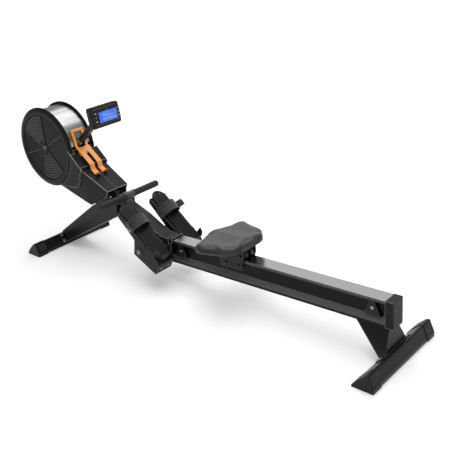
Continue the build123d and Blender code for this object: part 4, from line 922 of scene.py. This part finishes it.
def seat_crown(x, y):
    """Return the seat top's rise at a place: two hollows, a raised middle and fine creases."""
    hollow = 0.0050 * hump(x + 0.010, 0.075) * hump(abs(y) - 0.080, 0.046)
    notch = 0.005 * hump(x - 0.080, 0.045) * hump(y, 0.030)
    ridge = 0.0025 * hump(y, 0.022)
    crease = 0.0011 * noise.noise(Vector((x * 22, abs(y) * 70, 0.5))) * hump(x, 0.13)
    crease += 0.0009 * noise.noise(Vector((x * 60 + abs(y) * 50, 3.0, 1.5))) * hump(abs(y) - 0.09, 0.07)
    return ridge + crease - hollow - notch


def pad_blank():
    """Return the unfilled pad: a slab a little smaller than the finished cushion."""
    outline = pad_outline(8)
    middle = Vector((-0.035, 0.0))
    shape = Shape()
    rings = []
    for taken_in, up in ((0.010, 0.0), (0.003, 0.0015), (0.001, 0.010), (0.001, 0.028), (0.006, 0.036),
                         (0.016, 0.039)):
        ring = []
        for point in outline:
            inward = (middle - point).normalized()
            place = point + inward * taken_in
            ring.append(Vector((place.x, place.y, up)))
        rings.append(ring)
    shape.rings(rings)
    return shape


def baked_mesh(piece):
    """Return a new mesh with a piece's modifiers applied at the current frame."""
    graph = bpy.context.evaluated_depsgraph_get()
    graph.update()
    return bpy.data.meshes.new_from_object(piece.evaluated_get(graph))


PAD_VOXEL = 0.0055
PAD_LARGEST_MOVE = 0.006
PAD_FRAMES = 20


def inflate(piece):
    """Fill the pad: remesh it and blow it up as cloth, underside held, points kept near their start."""
    remesh = piece.modifiers.new("remesh", "REMESH")
    remesh.mode = "VOXEL"
    remesh.voxel_size = PAD_VOXEL
    blank = baked_mesh(piece)
    piece.modifiers.clear()
    piece.data = blank
    start = [v.co.copy() for v in blank.vertices]
    held = piece.vertex_groups.new(name="held")
    held.add([v.index for v in blank.vertices if v.co.z < 0.003], 1.0, "REPLACE")
    cloth = piece.modifiers.new("filling", "CLOTH")
    cloth.settings.quality = 6
    cloth.settings.mass = 0.35
    cloth.settings.tension_stiffness = 18
    cloth.settings.compression_stiffness = 18
    cloth.settings.bending_stiffness = 1.2
    cloth.settings.use_pressure = True
    cloth.settings.uniform_pressure_force = 4.0
    cloth.settings.effector_weights.gravity = 0.0
    cloth.settings.vertex_group_mass = "held"
    cloth.point_cache.frame_start = 1
    cloth.point_cache.frame_end = PAD_FRAMES
    for step in range(1, PAD_FRAMES + 1):
        scene.frame_set(step)
    filled = baked_mesh(piece)
    moved = [v.co.copy() for v in filled.vertices]
    piece.modifiers.clear()
    scene.frame_set(1)
    for vertex, before, after in zip(blank.vertices, start, moved):
        shift = after - before
        if shift.length > PAD_LARGEST_MOVE:
            shift *= PAD_LARGEST_MOVE / shift.length
        vertex.co = before + shift


def make_seat_pad():
    """Build the seat's cushion, then its piping and the stitched seam round its side."""
    blank = pad_blank()
    mesh = bpy.data.meshes.new("seat_cushion")
    mesh.from_pydata([tuple(v) for v in blank.vertices], [], blank.faces)
    piece = bpy.data.objects.new("seat_cushion", mesh)
    scene.collection.objects.link(piece)
    inflate(piece)
    mesh = piece.data
    tallest = max(v.co.z for v in mesh.vertices)
    front, rear = min(v.co.x for v in mesh.vertices), max(v.co.x for v in mesh.vertices)
    widest = max(abs(v.co.y) for v in mesh.vertices)
    outline = pad_outline(10)
    plan_front, plan_rear = min(p.x for p in outline) + 0.001, max(p.x for p in outline) - 0.001
    plan_half = max(p.y for p in outline) - 0.001
    for vertex in mesh.vertices:
        x, y, up = vertex.co
        x = plan_front + (x - front) * (plan_rear - plan_front) / (rear - front)
        y *= plan_half / widest
        share = min(1.0, max(0.0, (up - 0.018) / 0.014))
        rise = up * (SEAT_HEIGHT - 0.0015) / tallest + seat_crown(x, y) * share
        seam = 0.0016 * hump(up - 0.029, 0.0022) * (1 - 0.8 * share * hump(x + 0.03, 0.08) * hump(y, 0.12))
        inward = (Vector((-0.035, 0.0)) - Vector((x, y))).normalized() * seam
        vertex.co = seat_point(x + inward.x, y + inward.y, max(rise, 0.0004))
    mesh.materials.clear()
    mesh.materials.append(MATERIALS["pad_vinyl"])
    mesh.shade_smooth()
    relax = piece.modifiers.new("relax", "SMOOTH")
    relax.factor = 0.5
    relax.iterations = 2
    finer = piece.modifiers.new("finer", "SUBSURF")
    finer.levels = finer.render_levels = 1
    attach(piece, "seat")
    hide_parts("seat_pad")
    surface = BVHTree.FromPolygons([v.co for v in mesh.vertices], [tuple(f.vertices) for f in mesh.polygons])
    piping = Shape()
    middle = Vector((-0.035, 0.0))
    rings = []
    for point in outline:
        outward = (point - middle).normalized()
        out = RAIL_RUN * outward.x + Y_AXIS * outward.y
        outside = seat_point(point.x + outward.x * 0.03, point.y + outward.y * 0.03, 0.026)
        hit = surface.ray_cast(outside, -out, 0.08)[0]
        ring_middle = (hit or outside - out * 0.031) - out * 0.0010
        rings.append([ring_middle + out * (0.0021 * cos(a)) + RAIL_UP * (0.0021 * sin(a))
                      for a in (2 * pi * k / 10 for k in range(10))])
    piping.rings(rings, closed_run=True)
    mesh_piece("seat_piping", piping.vertices, piping.faces, "pad_vinyl", "seat", crease_angle=80)


make_seat_pad()
